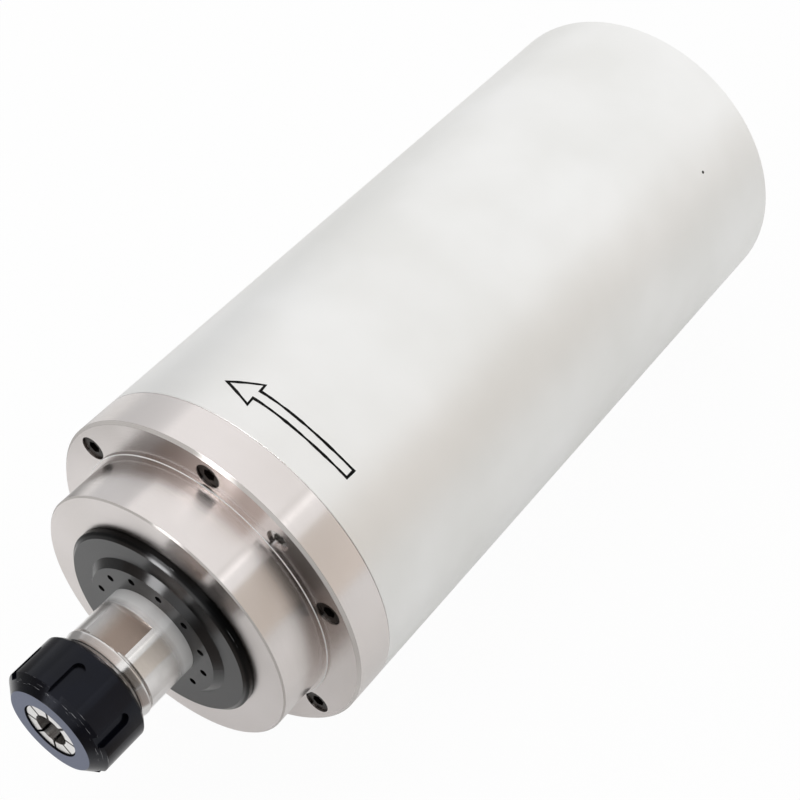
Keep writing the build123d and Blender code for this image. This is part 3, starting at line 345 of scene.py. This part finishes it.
# spring steel strip, tempered blue: dark straw to blue in patches
springSteel = turnedMetal("bluedSpringSteel", dict(
    colour="#6E7076", shade="#585C68", gloss=(0.22, 0.34), glossDrift=0.04, grain=0.3,
    ringSpacing=0.35 * mm, depth=0.0008 * mm, cloudSize=9 * mm))

# zinc plating with a clear passivate, tumbled: bright and faintly mottled
zincPlate = platedMetal("zincPlatedSteel", dict(
    colour="#E3E2DF", shade="#CFCFD2", gloss=(0.18, 0.30), grainSize=0.4 * mm, depth=0.004 * mm,
    cloudSize=4 * mm))

# brass fitting with bright nickel: warm silver with a soft haze
brightNickel = platedMetal("nickelPlatedBrass", dict(
    colour="#DDD8CC", shade="#CFC9BB", gloss=(0.10, 0.20), grainSize=0.6 * mm, depth=0.003 * mm,
    cloudSize=8 * mm))

# die-cast zinc shell with satin nickel: duller than the fittings, faint orange peel
satinNickel = platedMetal("satinNickelZinc", dict(
    colour="#CFCECB", shade="#C0BFBC", gloss=(0.28, 0.40), grainSize=0.7 * mm, depth=0.006 * mm,
    cloudSize=9 * mm))

# aluminium cast round the rotor bars: grey, grainy skin with dull patches
castAlloy = platedMetal("castAluminium", dict(
    colour="#CBCCCD", shade="#B4B6B8", gloss=(0.36, 0.52), grainSize=0.9 * mm, depth=0.03 * mm,
    cloudSize=12 * mm))

# black oxide on turned steel, oiled: blue-black with a clear gloss, rubbed on the spanner edges
nutBlack = coatedBlack("oiledBlackOxide", dict(
    colour="#06070C", shade="#090B14", gloss=(0.18, 0.22), ior=1.32, grain=0.6, cast="#E9EDFF",
    ringSpacing=0.5 * mm, depth=0.0012 * mm, cloudSize=14 * mm))
rubEdges(nutBlack, dict(
    width=0.45 * mm, length=6 * mm, level=0.64, fade=0.05, core=0.3, bareMetal="#B9BABC",
    edges=((20.4 * mm, -83.6 * mm, 0.3 * mm), (18.6 * mm, -85.1 * mm, 1.1 * mm))))


def grindNutFace():
    # the nut's flat front was ground after blackening, so it is a plain satin grey
    face = dict(y=-87.25 * mm, colour="#63666B")
    tree = nutBlack.node_tree
    ahead = addNode(tree, "ShaderNodeMath", {"operation": "LESS_THAN", 1: face["y"]},
                    {0: placeOf(tree)["y"]}).outputs[0]
    repaint(nutBlack, ahead, face["colour"])
    tree.links.new(ahead, tree.nodes["Principled BSDF"].inputs["Metallic"])


grindNutFace()

# aluminium, turned and anodised black: soft black with a silky gloss
coverBlack = coatedBlack("blackAnodisedAluminium", dict(
    colour="#070808", shade="#0B0C0D", gloss=(0.20, 0.24), ior=1.66, grain=0.8, cast="#F4F4F6",
    ringSpacing=0.6 * mm, depth=0.0012 * mm, cloudSize=25 * mm))
rubEdges(coverBlack, dict(
    width=0.5 * mm, length=6 * mm, level=0.62, fade=0.05, core=0.3, bareMetal="#8E9091",
    edges=((37.0 * mm, -38.1 * mm, 0.15 * mm),)))


def shadeCoverRim():
    # the cover's rim has its specular level turned down outwards from its face, so it shows darker: painted
    # shade
    rimShade = dict(start=35.9 * mm, full=36.4 * mm, shine=0.5, shadedLevel=0.1)
    tree = coverBlack.node_tree
    level = addNode(tree, "ShaderNodeMapRange",
                    ranges(rimShade["start"], rimShade["full"], rimShade["shine"], rimShade["shadedLevel"]),
                    {0: placeOf(tree)["radius"]})
    tree.links.new(level.outputs[0], tree.nodes["Principled BSDF"].inputs["Specular IOR Level"])


shadeCoverRim()

# alloy steel screws, black oxide, dry: dark grey, duller than the nut
screwBlack = coatedBlack("dryBlackOxide", dict(
    colour="#0E0B09", shade="#191411", gloss=(0.24, 0.34), ior=1.36, grain=0.0, cast="#FFF1E6",
    ringSpacing=0.5 * mm, depth=0.0010 * mm, cloudSize=6 * mm))

# nitrile rubber seals: matt black with a grey bloom
sealRubber = mouldedPlastic("nitrileRubber", dict(
    colour="#1B1B1B", shade="#262626", gloss=(0.55, 0.70), ior=1.52, grainSize=0.3 * mm,
    depth=0.006 * mm, cloudSize=5 * mm))

# blue acetal release collars: waxy and even
collarAcetal = mouldedPlastic("blueAcetal", dict(
    colour="#1F4E9A", shade="#1A4489", gloss=(0.32, 0.42), ior=1.48, grainSize=0.3 * mm,
    depth=0.004 * mm, cloudSize=6 * mm))

# black thermoset insert: hard, slightly glossy, with glass-fibre haze
insertThermoset = mouldedPlastic("blackThermoset", dict(
    colour="#1A1A1B", shade="#222223", gloss=(0.35, 0.50), ior=1.55, grainSize=0.25 * mm,
    depth=0.005 * mm, cloudSize=5 * mm))

# red silicone insulation on the leads: soft sheen
leadSilicone = mouldedPlastic("redSilicone", dict(
    colour="#A3271E", shade="#92211A", gloss=(0.42, 0.55), ior=1.43, grainSize=0.4 * mm,
    depth=0.006 * mm, cloudSize=6 * mm))


def stackedLaminations():
    # electrical steel sheets 0.5 mm thick, stamped and stacked: dark grey. One fine line stands for two
    # sheets, drawn coarser than they are: a wave's length is 2 pi / 20 over its scale
    look = dict(sheet=0.5 * mm, colour="#7C7F84", shade="#5E6064", gloss=(0.38, 0.50), depth=0.03 * mm,
                relief=0.6, cloudSize=6 * mm)
    material, tree, shader = newMaterial("laminatedSteel", {"Metallic": 1.0})
    spot = placeOf(tree)["spot"]
    sheets = addNode(tree, "ShaderNodeTexWave",
                     {"bands_direction": "Y", "wave_profile": "SAW", "Distortion": 0.0,
                      "Scale": 2 * math.pi / 20 / (2 * look["sheet"])}, {"Vector": spot}).outputs[1]
    cloud = addNode(tree, "ShaderNodeTexNoise", {"Scale": 1 / look["cloudSize"], "Detail": 4.0},
                    {"Vector": spot}).outputs[0]
    dress(tree, shader, look, cloud, cloud, sheets)
    return material


def enamelledCopper():
    # 0.8 mm winding wire under amber varnish: wires side by side round the end turns
    look = dict(wire=0.8 * mm, colour="#B4602E", shade="#8C4320", gloss=(0.25, 0.40), depth=0.12 * mm,
                relief=0.7, cloudSize=5 * mm)
    material, tree, shader = newMaterial("varnishedCopperWire", {"Metallic": 1.0, "Coat Weight": 0.5})
    place = placeOf(tree)
    turns = addNode(tree, "ShaderNodeMath", {"operation": "MULTIPLY", 1: 2 * math.pi / look["wire"]},
                    {0: place["radius"]})
    wires = addNode(tree, "ShaderNodeMath", {"operation": "SINE"}, {0: turns.outputs[0]}).outputs[0]
    cloud = addNode(tree, "ShaderNodeTexNoise", {"Scale": 1 / look["cloudSize"], "Detail": 3.0},
                    {"Vector": place["spot"]}).outputs[0]
    dress(tree, shader, look, cloud, cloud, wires)
    return material


def clothPhenolic():
    # cotton cloth in phenolic resin, machined: brown, with the weave showing as a fine check
    look = dict(thread=0.6 * mm, colour="#8A5A2E", shade="#6A4220", gloss=(0.40, 0.55), depth=0.02 * mm,
                relief=0.6, cloudSize=3 * mm, weaveShare=0.35, toneSpan=(0.3, 1.0))
    material, tree, shader = newMaterial("clothPhenolic", {"IOR": 1.6})
    spot = placeOf(tree)["spot"]
    weave = addNode(tree, "ShaderNodeTexChecker", {"Scale": 1 / look["thread"]}, {"Vector": spot}).outputs[1]
    cloud = addNode(tree, "ShaderNodeTexNoise", {"Scale": 1 / look["cloudSize"], "Detail": 3.0},
                    {"Vector": spot}).outputs[0]
    mixed = addNode(tree, "ShaderNodeMath", {"operation": "MULTIPLY_ADD", 1: look["weaveShare"]},
                    {0: weave, 2: cloud})
    dress(tree, shader, look, mixed.outputs[0], cloud, weave)
    return material


def printingInk():
    # black screen-printing ink on steel: matt, thin in places, so its tone varies
    look = dict(colour="#030303", shade="#0A0A0A", gloss=(0.45, 0.60), grainSize=0.8 * mm)
    material, tree, shader = newMaterial("screenInk", {"IOR": 1.5, "Specular IOR Level": 0.1})
    grain = addNode(tree, "ShaderNodeTexNoise", {"Scale": 1 / look["grainSize"], "Detail": 3.0},
                    {"Vector": placeOf(tree)["spot"]}).outputs[0]
    dress(tree, shader, look, grain, grain)
    return material


slotFinish = {
    "black_oxide": nutBlack, "black_cover": coverBlack, "ground_steel": groundSteel,
    "turned_steel": housingSteel, "tube_steel": tubeSteel, "screw_black": screwBlack,
    "screw_bright": zincPlate, "jacket_alloy": jacketAlloy, "cover_alloy": coverAlloy,
    "lamination": stackedLaminations(), "copper": enamelledCopper(), "rotor_alloy": castAlloy,
    "bearing_steel": bearingSteel, "cage_phenolic": clothPhenolic(), "spring_steel": springSteel,
    "seal_rubber": sealRubber, "fitting_nickel": brightNickel, "collar_plastic": collarAcetal,
    "shell_nickel": satinNickel, "insert_plastic": insertThermoset, "pin_brass": pinBrass,
    "lead_silicone": leadSilicone,
}
for part in frame["record"]["subparts"]:
    for slotOfNode in cadNodes[part["node"]].material_slots:
        slotOfNode.material = slotFinish[part["material_slot"]]
print("materials:", len(slotFinish))


def closedGrid(rows, columns):
    # the corners of every quad on a grid that meets itself both ways, as rows x columns x 4 numbers
    i, j = np.meshgrid(np.arange(rows), np.arange(columns), indexing="ij")
    nextI, nextJ = (i + 1) % rows, (j + 1) % columns
    return np.stack([i * columns + j, i * columns + nextJ, nextI * columns + nextJ, nextI * columns + j], -1)


def newPiece(name, points, faces, material, body):
    mesh = bpy.data.meshes.new(name)
    mesh.from_pydata(points.tolist(), [], faces)
    mesh.update()
    piece = bpy.data.objects.new(name, mesh)
    bpy.context.scene.collection.objects.link(piece)
    piece.data.materials.append(material)
    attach(piece, body)
    return piece


def profileRows(y, r, kind):
    # points of the profile, each as its y, its radius and the kind of surface that it belongs to
    return np.stack(np.broadcast_arrays(y, r, kind), -1)


def threadedShaft():
    # a profile carried round the axis: point = (r cos a, y, r sin a). On the spanner flats r becomes
    # min(r, flat height / |sin a|). On the thread it is r - depth x a triangle wave of y / pitch + a / 2 pi,
    # cut by the lead-in's cone, which makes a right-hand helix. The collar eases off to both sides with a
    # power of the way from its middle
    shaft = dict(
        front=-79.6, threadR=16.0, leadIn=0.6, pitch=1.5, threadDepth=0.92, threadEnd=-65.3, rowsPerTurn=12,
        reliefR=15.0, reliefEnd=-64.8, collarFrontR=16.6, collarR=17.5, collarEnd=-61.3, collarEase=0.4,
        collarPower=8, collarRows=15, grooveR=16.1, grooveEnd=-60.45, journalR=17.0, flatHeight=15.0,
        flatEnd=-48.1, cutterWall=0.08, mouthR=12.9, socketEnd=-52.4, socketR=9.08, boreR=8.6, boreEnd=-27.6,
        drillTip=-23.6, roundColumns=64, flatColumns=28, sharpAngle=18,
        behind=((-36.5, 17.0), (-36.5, 17.48), (8.4, 17.48), (8.4, 21.0), (14.4, 21.0), (14.4, 18.0),
                (192.4, 18.0), (192.4, 14.5), (206.4, 14.5), (206.4, 12.48), (233.4, 12.48), (233.4, 12.0),
                (241.4, 12.0), (242.4, 11.0)))
    plain, flat, thread = 0, 1, 2
    threadY = np.arange(shaft["front"], shaft["threadEnd"], shaft["pitch"] / shaft["rowsPerTurn"])
    across = np.linspace(-1, 1, shaft["collarRows"])
    collarY = shaft["reliefEnd"] + (across + 1) / 2 * (shaft["collarEnd"] - shaft["reliefEnd"])
    collarR = (shaft["collarFrontR"] + (across + 1) / 2 * (shaft["collarR"] - shaft["collarFrontR"])
               - shaft["collarEase"] * np.abs(across) ** shaft["collarPower"])
    outside = np.concatenate([
        profileRows(threadY, shaft["threadR"], thread),
        profileRows((shaft["threadEnd"], shaft["reliefEnd"]), shaft["reliefR"], plain),
        profileRows(collarY, collarR, plain),
        profileRows((shaft["collarEnd"], shaft["grooveEnd"]), shaft["grooveR"], flat),
        profileRows((shaft["grooveEnd"] + shaft["cutterWall"], shaft["flatEnd"]), shaft["journalR"], flat),
        profileRows((shaft["flatEnd"] + shaft["cutterWall"],), shaft["journalR"], plain),
        profileRows(*np.transpose(shaft["behind"]), plain)])
    inside = profileRows((shaft["boreEnd"], shaft["socketEnd"], shaft["socketEnd"], shaft["front"]),
                         (shaft["boreR"], shaft["boreR"], shaft["socketR"], shaft["mouthR"]), plain)
    y, r, kind = np.concatenate([outside, inside]).T[:, :, None]

    corner = math.asin(shaft["flatHeight"] / shaft["journalR"])     # where the flats run out into the round
    spans = [(-corner, corner, shaft["roundColumns"]), (corner, math.pi - corner, shaft["flatColumns"]),
             (math.pi - corner, math.pi + corner, shaft["roundColumns"]),
             (math.pi + corner, 2 * math.pi - corner, shaft["flatColumns"])]
    turn = np.concatenate([np.linspace(a, b, n, endpoint=False) for a, b, n in spans])[None, :]
    steep = np.maximum(np.abs(np.sin(turn)), 1e-6)                  # never 0, as it divides
    onFlat = np.minimum(r, shaft["flatHeight"] / steep)
    wave = np.abs(2 * ((y / shaft["pitch"] + turn / (2 * math.pi)) % 1) - 1)
    onThread = np.minimum(r - shaft["threadDepth"] * wave, r - shaft["leadIn"] + y - shaft["front"])
    radius = np.where(kind == flat, onFlat, np.where(kind == thread, onThread, r + 0 * turn))
    points = np.stack([radius * np.cos(turn), y + 0 * turn, radius * np.sin(turn)], -1) * mm
    # the profile closes on itself at the mouth; the two ends on the axis are fans round one point each
    rows, columns = radius.shape
    quads = np.delete(closedGrid(rows, columns), len(outside) - 1, axis=0).reshape(-1, 4)[:, ::-1]
    back, bore = (len(outside) - 1) * columns, len(outside) * columns
    ring = np.arange(columns)
    ringAfter = np.roll(ring, -1)
    backFan = np.stack([np.full(columns, rows * columns), back + ringAfter, back + ring], -1)
    boreFan = np.stack([np.full(columns, rows * columns + 1), bore + ring, bore + ringAfter], -1)
    ends = np.array([(0, shaft["behind"][-1][0], 0), (0, shaft["drillTip"], 0)]) * mm
    piece = newPiece("shaft_threaded", np.concatenate([points.reshape(-1, 3), ends]),
                     quads.tolist() + backFan.tolist() + boreFan.tolist(), shaftSteel(), "spindle")
    piece.data.shade_smooth()
    piece.data.set_sharp_from_angle(angle=math.radians(shaft["sharpAngle"]))
    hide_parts("shaft")


threadedShaft()
print("shaft done")


def rotationArrow():
    # a closed outline on the tube. Its corners are (degrees round the axis, y); the run between two
    # corners is cut into short steps, and the stroke is a small rectangle carried along that path
    arrow = dict(
        tip=(98.6, 13.1), head=88.2, headRear=18.35, headFront=8.95, barb=0.3, shaftRear=15.5,
        shaftFront=12.0, tail=52.8, bow=0.55, bowSkew=1.3, stroke=0.86, swell=0.16, swellLength=13.0,
        swellWaves=(1, 2.3, 4.1), swellShift=6.3, film=0.03, sunk=0.06, step=0.6, seed=4)
    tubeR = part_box("body_shell")[1].x / mm
    corners = np.array([
        arrow["tip"], (arrow["head"] + arrow["barb"], arrow["headRear"]), (arrow["head"], arrow["shaftRear"]),
        (arrow["tail"], arrow["shaftRear"]), (arrow["tail"], arrow["shaftFront"]),
        (arrow["head"], arrow["shaftFront"]), (arrow["head"] - arrow["barb"], arrow["headFront"])])
    corners[:, 0] *= math.pi / 180 * tubeR            # unrolled: millimetres round the tube
    ends = np.roll(corners, -1, axis=0)
    counts = np.ceil(np.linalg.norm(ends - corners, axis=1) / arrow["step"]).astype(int)
    path = np.concatenate([a + (b - a) * (np.arange(n) / n)[:, None]
                           for a, b, n in zip(corners, ends, counts)])
    # hand-laid stencil: the long sides bow towards the nose by bow x sin(pi t^skew) from head to tail
    degrees = path[:, 0] / tubeR * 180 / math.pi
    along = np.clip((arrow["head"] - degrees) / (arrow["head"] - arrow["tail"]), 0, 1)
    path[:, 1] -= arrow["bow"] * np.sin(math.pi * along ** arrow["bowSkew"])
    # the stroke's edges: path +- half width along the mitre, which is the sum of the two edges' normals
    # over one plus their product
    ahead = np.roll(path, -1, axis=0) - path
    normal = np.stack([-ahead[:, 1], ahead[:, 0]], 1) / np.linalg.norm(ahead, axis=1)[:, None]
    before = np.roll(normal, 1, axis=0)
    mitre = (normal + before) / (1 + np.sum(normal * before, axis=1))[:, None]
    # the brush swells and thins: a sum of three waves along the length, each shifted by a random amount
    length = np.cumsum(np.linalg.norm(ahead, axis=1))
    draw = np.random.default_rng(arrow["seed"])
    turns = 2 * math.pi * length / arrow["swellLength"]
    waves = sum(np.sin(turns * k + draw.uniform(0, arrow["swellShift"])) / k for k in arrow["swellWaves"])
    half = 0.5 * arrow["stroke"] * (1 + arrow["swell"] * waves)[:, None]
    radii = np.array([-arrow["sunk"], arrow["film"], arrow["film"], -arrow["sunk"]]) + tubeR
    flat = np.stack([path - half * mitre, path - half * mitre, path + half * mitre, path + half * mitre], 1)
    angle = flat[..., 0] / tubeR
    points = np.stack([radii * np.cos(angle), flat[..., 1], radii * np.sin(angle)], -1) * mm
    faces = closedGrid(*points.shape[:2]).reshape(-1, 4)
    newPiece("rotation_arrow", points.reshape(-1, 3), faces.tolist(), printingInk(), "body")


rotationArrow()
print("rotation arrow done")


def studioFloor():
    # a sheet of white paper: nearly white to the camera with a faint shadow left in it, and less white in
    # metal, where more of its shadow shows
    floor = dict(size=30.0, colour="#F4F4F3", roughness=0.9, shown=0.96, shownInMetal=0.33)
    bpy.ops.mesh.primitive_plane_add(size=floor["size"], location=(0, 0, cadLow.z))
    plane = bpy.context.object
    plane.name = "studio_floor"
    material, tree, shader = newMaterial("whitePaper", {"Roughness": floor["roughness"],
                                                        "Base Color": linearColour(floor["colour"])})
    rays = addNode(tree, "ShaderNodeLightPath").outputs
    inMetal = addNode(tree, "ShaderNodeMath", {"operation": "MULTIPLY", 1: floor["shownInMetal"]},
                      {0: rays["Is Glossy Ray"]})
    share = addNode(tree, "ShaderNodeMath", {"operation": "MULTIPLY_ADD", 1: floor["shown"]},
                    {0: rays["Is Camera Ray"], 2: inMetal.outputs[0]})
    white = addNode(tree, "ShaderNodeEmission", {"Color": "#FFFFFF"})
    mix = addNode(tree, "ShaderNodeMixShader",
                  links={0: share.outputs[0], 1: shader.outputs[0], 2: white.outputs[0]})
    tree.links.new(mix.outputs[0], tree.nodes["Material Output"].inputs["Surface"])
    plane.data.materials.append(material)


def studioWorld():
    # white where it is seen directly or in metal, dimmer as fill light
    sky = dict(colour="#FFFFFF", fill=0.55, seen=1.0)
    world = bpy.data.worlds.new("whiteStudio")
    bpy.context.scene.world = world
    world.use_nodes = True
    tree = world.node_tree
    rays = addNode(tree, "ShaderNodeLightPath").outputs
    seen = addNode(tree, "ShaderNodeMath", {"operation": "ADD"},
                   {0: rays["Is Camera Ray"], 1: rays["Is Glossy Ray"]})
    seen = addNode(tree, "ShaderNodeMath", {"operation": "ADD", "use_clamp": True},
                   {0: seen.outputs[0], 1: rays["Is Transmission Ray"]})
    strength = addNode(tree, "ShaderNodeMapRange", ranges(0, 1, sky["fill"], sky["seen"]),
                       {0: seen.outputs[0]})
    tree.links.new(strength.outputs[0], tree.nodes["Background"].inputs["Strength"])
    tree.nodes["Background"].inputs["Color"].default_value = linearColour(sky["colour"])


def softbox(name, place, width, height, watts):
    # a lamp that looks at the tube's front half and doesn't show in metal
    aim = Vector((0, 0.08, 0))
    light = bpy.data.lights.new(name, "AREA")
    light.shape = "RECTANGLE"
    light.size, light.size_y, light.energy = width, height, watts
    lamp = bpy.data.objects.new(name, light)
    bpy.context.scene.collection.objects.link(lamp)
    turn = (aim - Vector(place)).to_track_quat("-Z", "Y").to_matrix().to_4x4()
    lamp.matrix_world = Matrix.Translation(place) @ turn
    lamp.visible_glossy = False


def reflectorCard(name, centre, across, along, colours, strength=1.0, softness=0.12):
    # a card that only reflections see. across and along are its two full sides; its colour runs from the
    # first to the second along across, and it fades out towards its edge
    bpy.ops.mesh.primitive_plane_add(size=1)
    card = bpy.context.object
    card.name = name
    across, along = Vector(across), Vector(along)
    square = across.cross(along).normalized()
    card.matrix_world = Matrix.Translation(centre) @ Matrix((across, along, square)).transposed().to_4x4()
    material = bpy.data.materials.new(name)
    material.use_nodes = True
    tree = material.node_tree
    tree.nodes.remove(tree.nodes["Principled BSDF"])
    place = placeOf(tree)
    half = 0.5                                        # of the card's side, which is 1 in its own units
    sides = [addNode(tree, "ShaderNodeMath", {"operation": "ABSOLUTE"}, {0: place[side]}).outputs[0]
             for side in ("x", "y")]
    edge = addNode(tree, "ShaderNodeMath", {"operation": "MAXIMUM"}, {0: sides[0], 1: sides[1]})
    solid = addNode(tree, "ShaderNodeMapRange",
                    {"interpolation_type": "SMOOTHSTEP", **ranges(half - softness, half, 1, 0)},
                    {0: edge.outputs[0]})
    share = addNode(tree, "ShaderNodeMath", {"operation": "ADD", 1: half}, {0: place["x"]})
    tone = addNode(tree, "ShaderNodeMix", {"data_type": "RGBA", 6: colours[0], 7: colours[1]},
                   {0: share.outputs[0]})
    clear = addNode(tree, "ShaderNodeBsdfTransparent")
    paint = addNode(tree, "ShaderNodeEmission", {"Strength": strength}, {0: tone.outputs[2]})
    mix = addNode(tree, "ShaderNodeMixShader",
                  links={0: solid.outputs[0], 1: clear.outputs[0], 2: paint.outputs[0]})
    tree.links.new(mix.outputs[0], tree.nodes["Material Output"].inputs["Surface"])
    card.data.materials.append(material)
    card.visible_camera = card.visible_diffuse = card.visible_shadow = False
    card.visible_transmission = False


def studioLight():
    # two soft lamps, from above and from the front, for the diffuse light
    lamps = dict(
        topLamp=dict(place=(-0.55, 0.35, 1.25), width=1.5, height=1.2, watts=7.0),
        frontLamp=dict(place=(-0.2, -1.1, 0.9), width=0.9, height=0.6, watts=1.7))
    # what the metal shows: over the front a room in mid brown, darker on its left, a dark wall on its right,
    # shade low down before the nose, and a small window
    frontCards = dict(
        roomAbove=dict(centre=(-0.35, -1.10, 0.68), across=(-1.70, 0, -0.34), along=(0, 2.3, 0),
                       colours=("#D8CCC6", "#70665F"), softness=0.05),
        roomLeft=dict(centre=(-1.0, -0.95, 0.24), across=(0, 0, -0.62), along=(0, 2.0, 0),
                      colours=("#857B75", "#6E6661"), softness=0.05),
        darkRight=dict(centre=(0.50, -0.70, 0.21), across=(0, 0, 0.56), along=(0, 1.36, 0),
                       colours=("#1E1613", "#140E0C"), softness=0.04),
        floorShade=dict(centre=(0.27, -0.465, -0.0615), across=(0.46, 0, 0), along=(0, 0.89, 0),
                        colours=("#8A807A", "#3A322E"), softness=0.05))
    # beside the flange a grey card, and behind it a pale one on the left and a pale wall on the right, with
    # a bright strip and a duller gap over the wall
    rearCards = dict(
        edgeShade=dict(centre=(-0.35, -0.14, 0.035), across=(-0.50, 0, 0.20), along=(0, 0.40, 0),
                       colours=("#8F8E8D", "#8F8E8D")),
        farLeft=dict(centre=(-0.60, 0.17, 0.23), across=(0, 0, 0.63), along=(0, 0.50, 0),
                     colours=("#D8D9DA", "#D6D7D8"), softness=0.2),
        paleWall=dict(centre=(1.0, 0.40, 0.39), across=(0, 0, 0.90), along=(0, 1.00, 0),
                      colours=("#E2DAD2", "#D9D1C8"), softness=0.03),
        brightStrip=dict(centre=(0.692, 0.85, 0.855), across=(-0.043, 0, 0.035), along=(0, 1.9, 0),
                         colours=("#FFFFFF", "#FFFFFF"), strength=1.5),
        stripGap=dict(centre=(0.615, 0.85, 0.912), across=(-0.041, 0, 0.028), along=(0, 1.9, 0),
                      colours=("#E4E2E0", "#E4E2E0")))
    window = dict(centre=(-0.31, -1.03, 0.53), across=(0.42, 0, 0), along=(0, 0.13, 0.26),
                  colours=("#FFFFFF", "#FFFFFF"), strength=19)
    for name, lamp in lamps.items():
        softbox(name, **lamp)
    for name, card in dict(**frontCards, **rearCards, window=window).items():
        reflectorCard(name, **card)


def studioCamera():
    # stands above and to the right of the nose, looking down the tube
    view = dict(place=(0.24248, -0.23919, 0.43203), ahead=(-0.40366, 0.54885, -0.732), lens=74.44,
                sensor=36.0, near=0.01, far=100)
    camera = bpy.data.cameras.new("camera")
    camera.lens, camera.sensor_width = view["lens"], view["sensor"]
    camera.clip_start, camera.clip_end = view["near"], view["far"]
    stand = bpy.data.objects.new("camera", camera)
    bpy.context.scene.collection.objects.link(stand)
    back = -Vector(view["ahead"]).normalized()
    right = Vector((0, 0, 1)).cross(back).normalized()
    up = back.cross(right)
    stand.matrix_world = Matrix.Translation(view["place"]) @ Matrix((right, up, back)).transposed().to_4x4()
    bpy.context.scene.camera = stand


studioFloor()
studioWorld()
studioLight()
studioCamera()
bpy.context.scene.view_settings.view_transform = "Standard"
print("studio done")
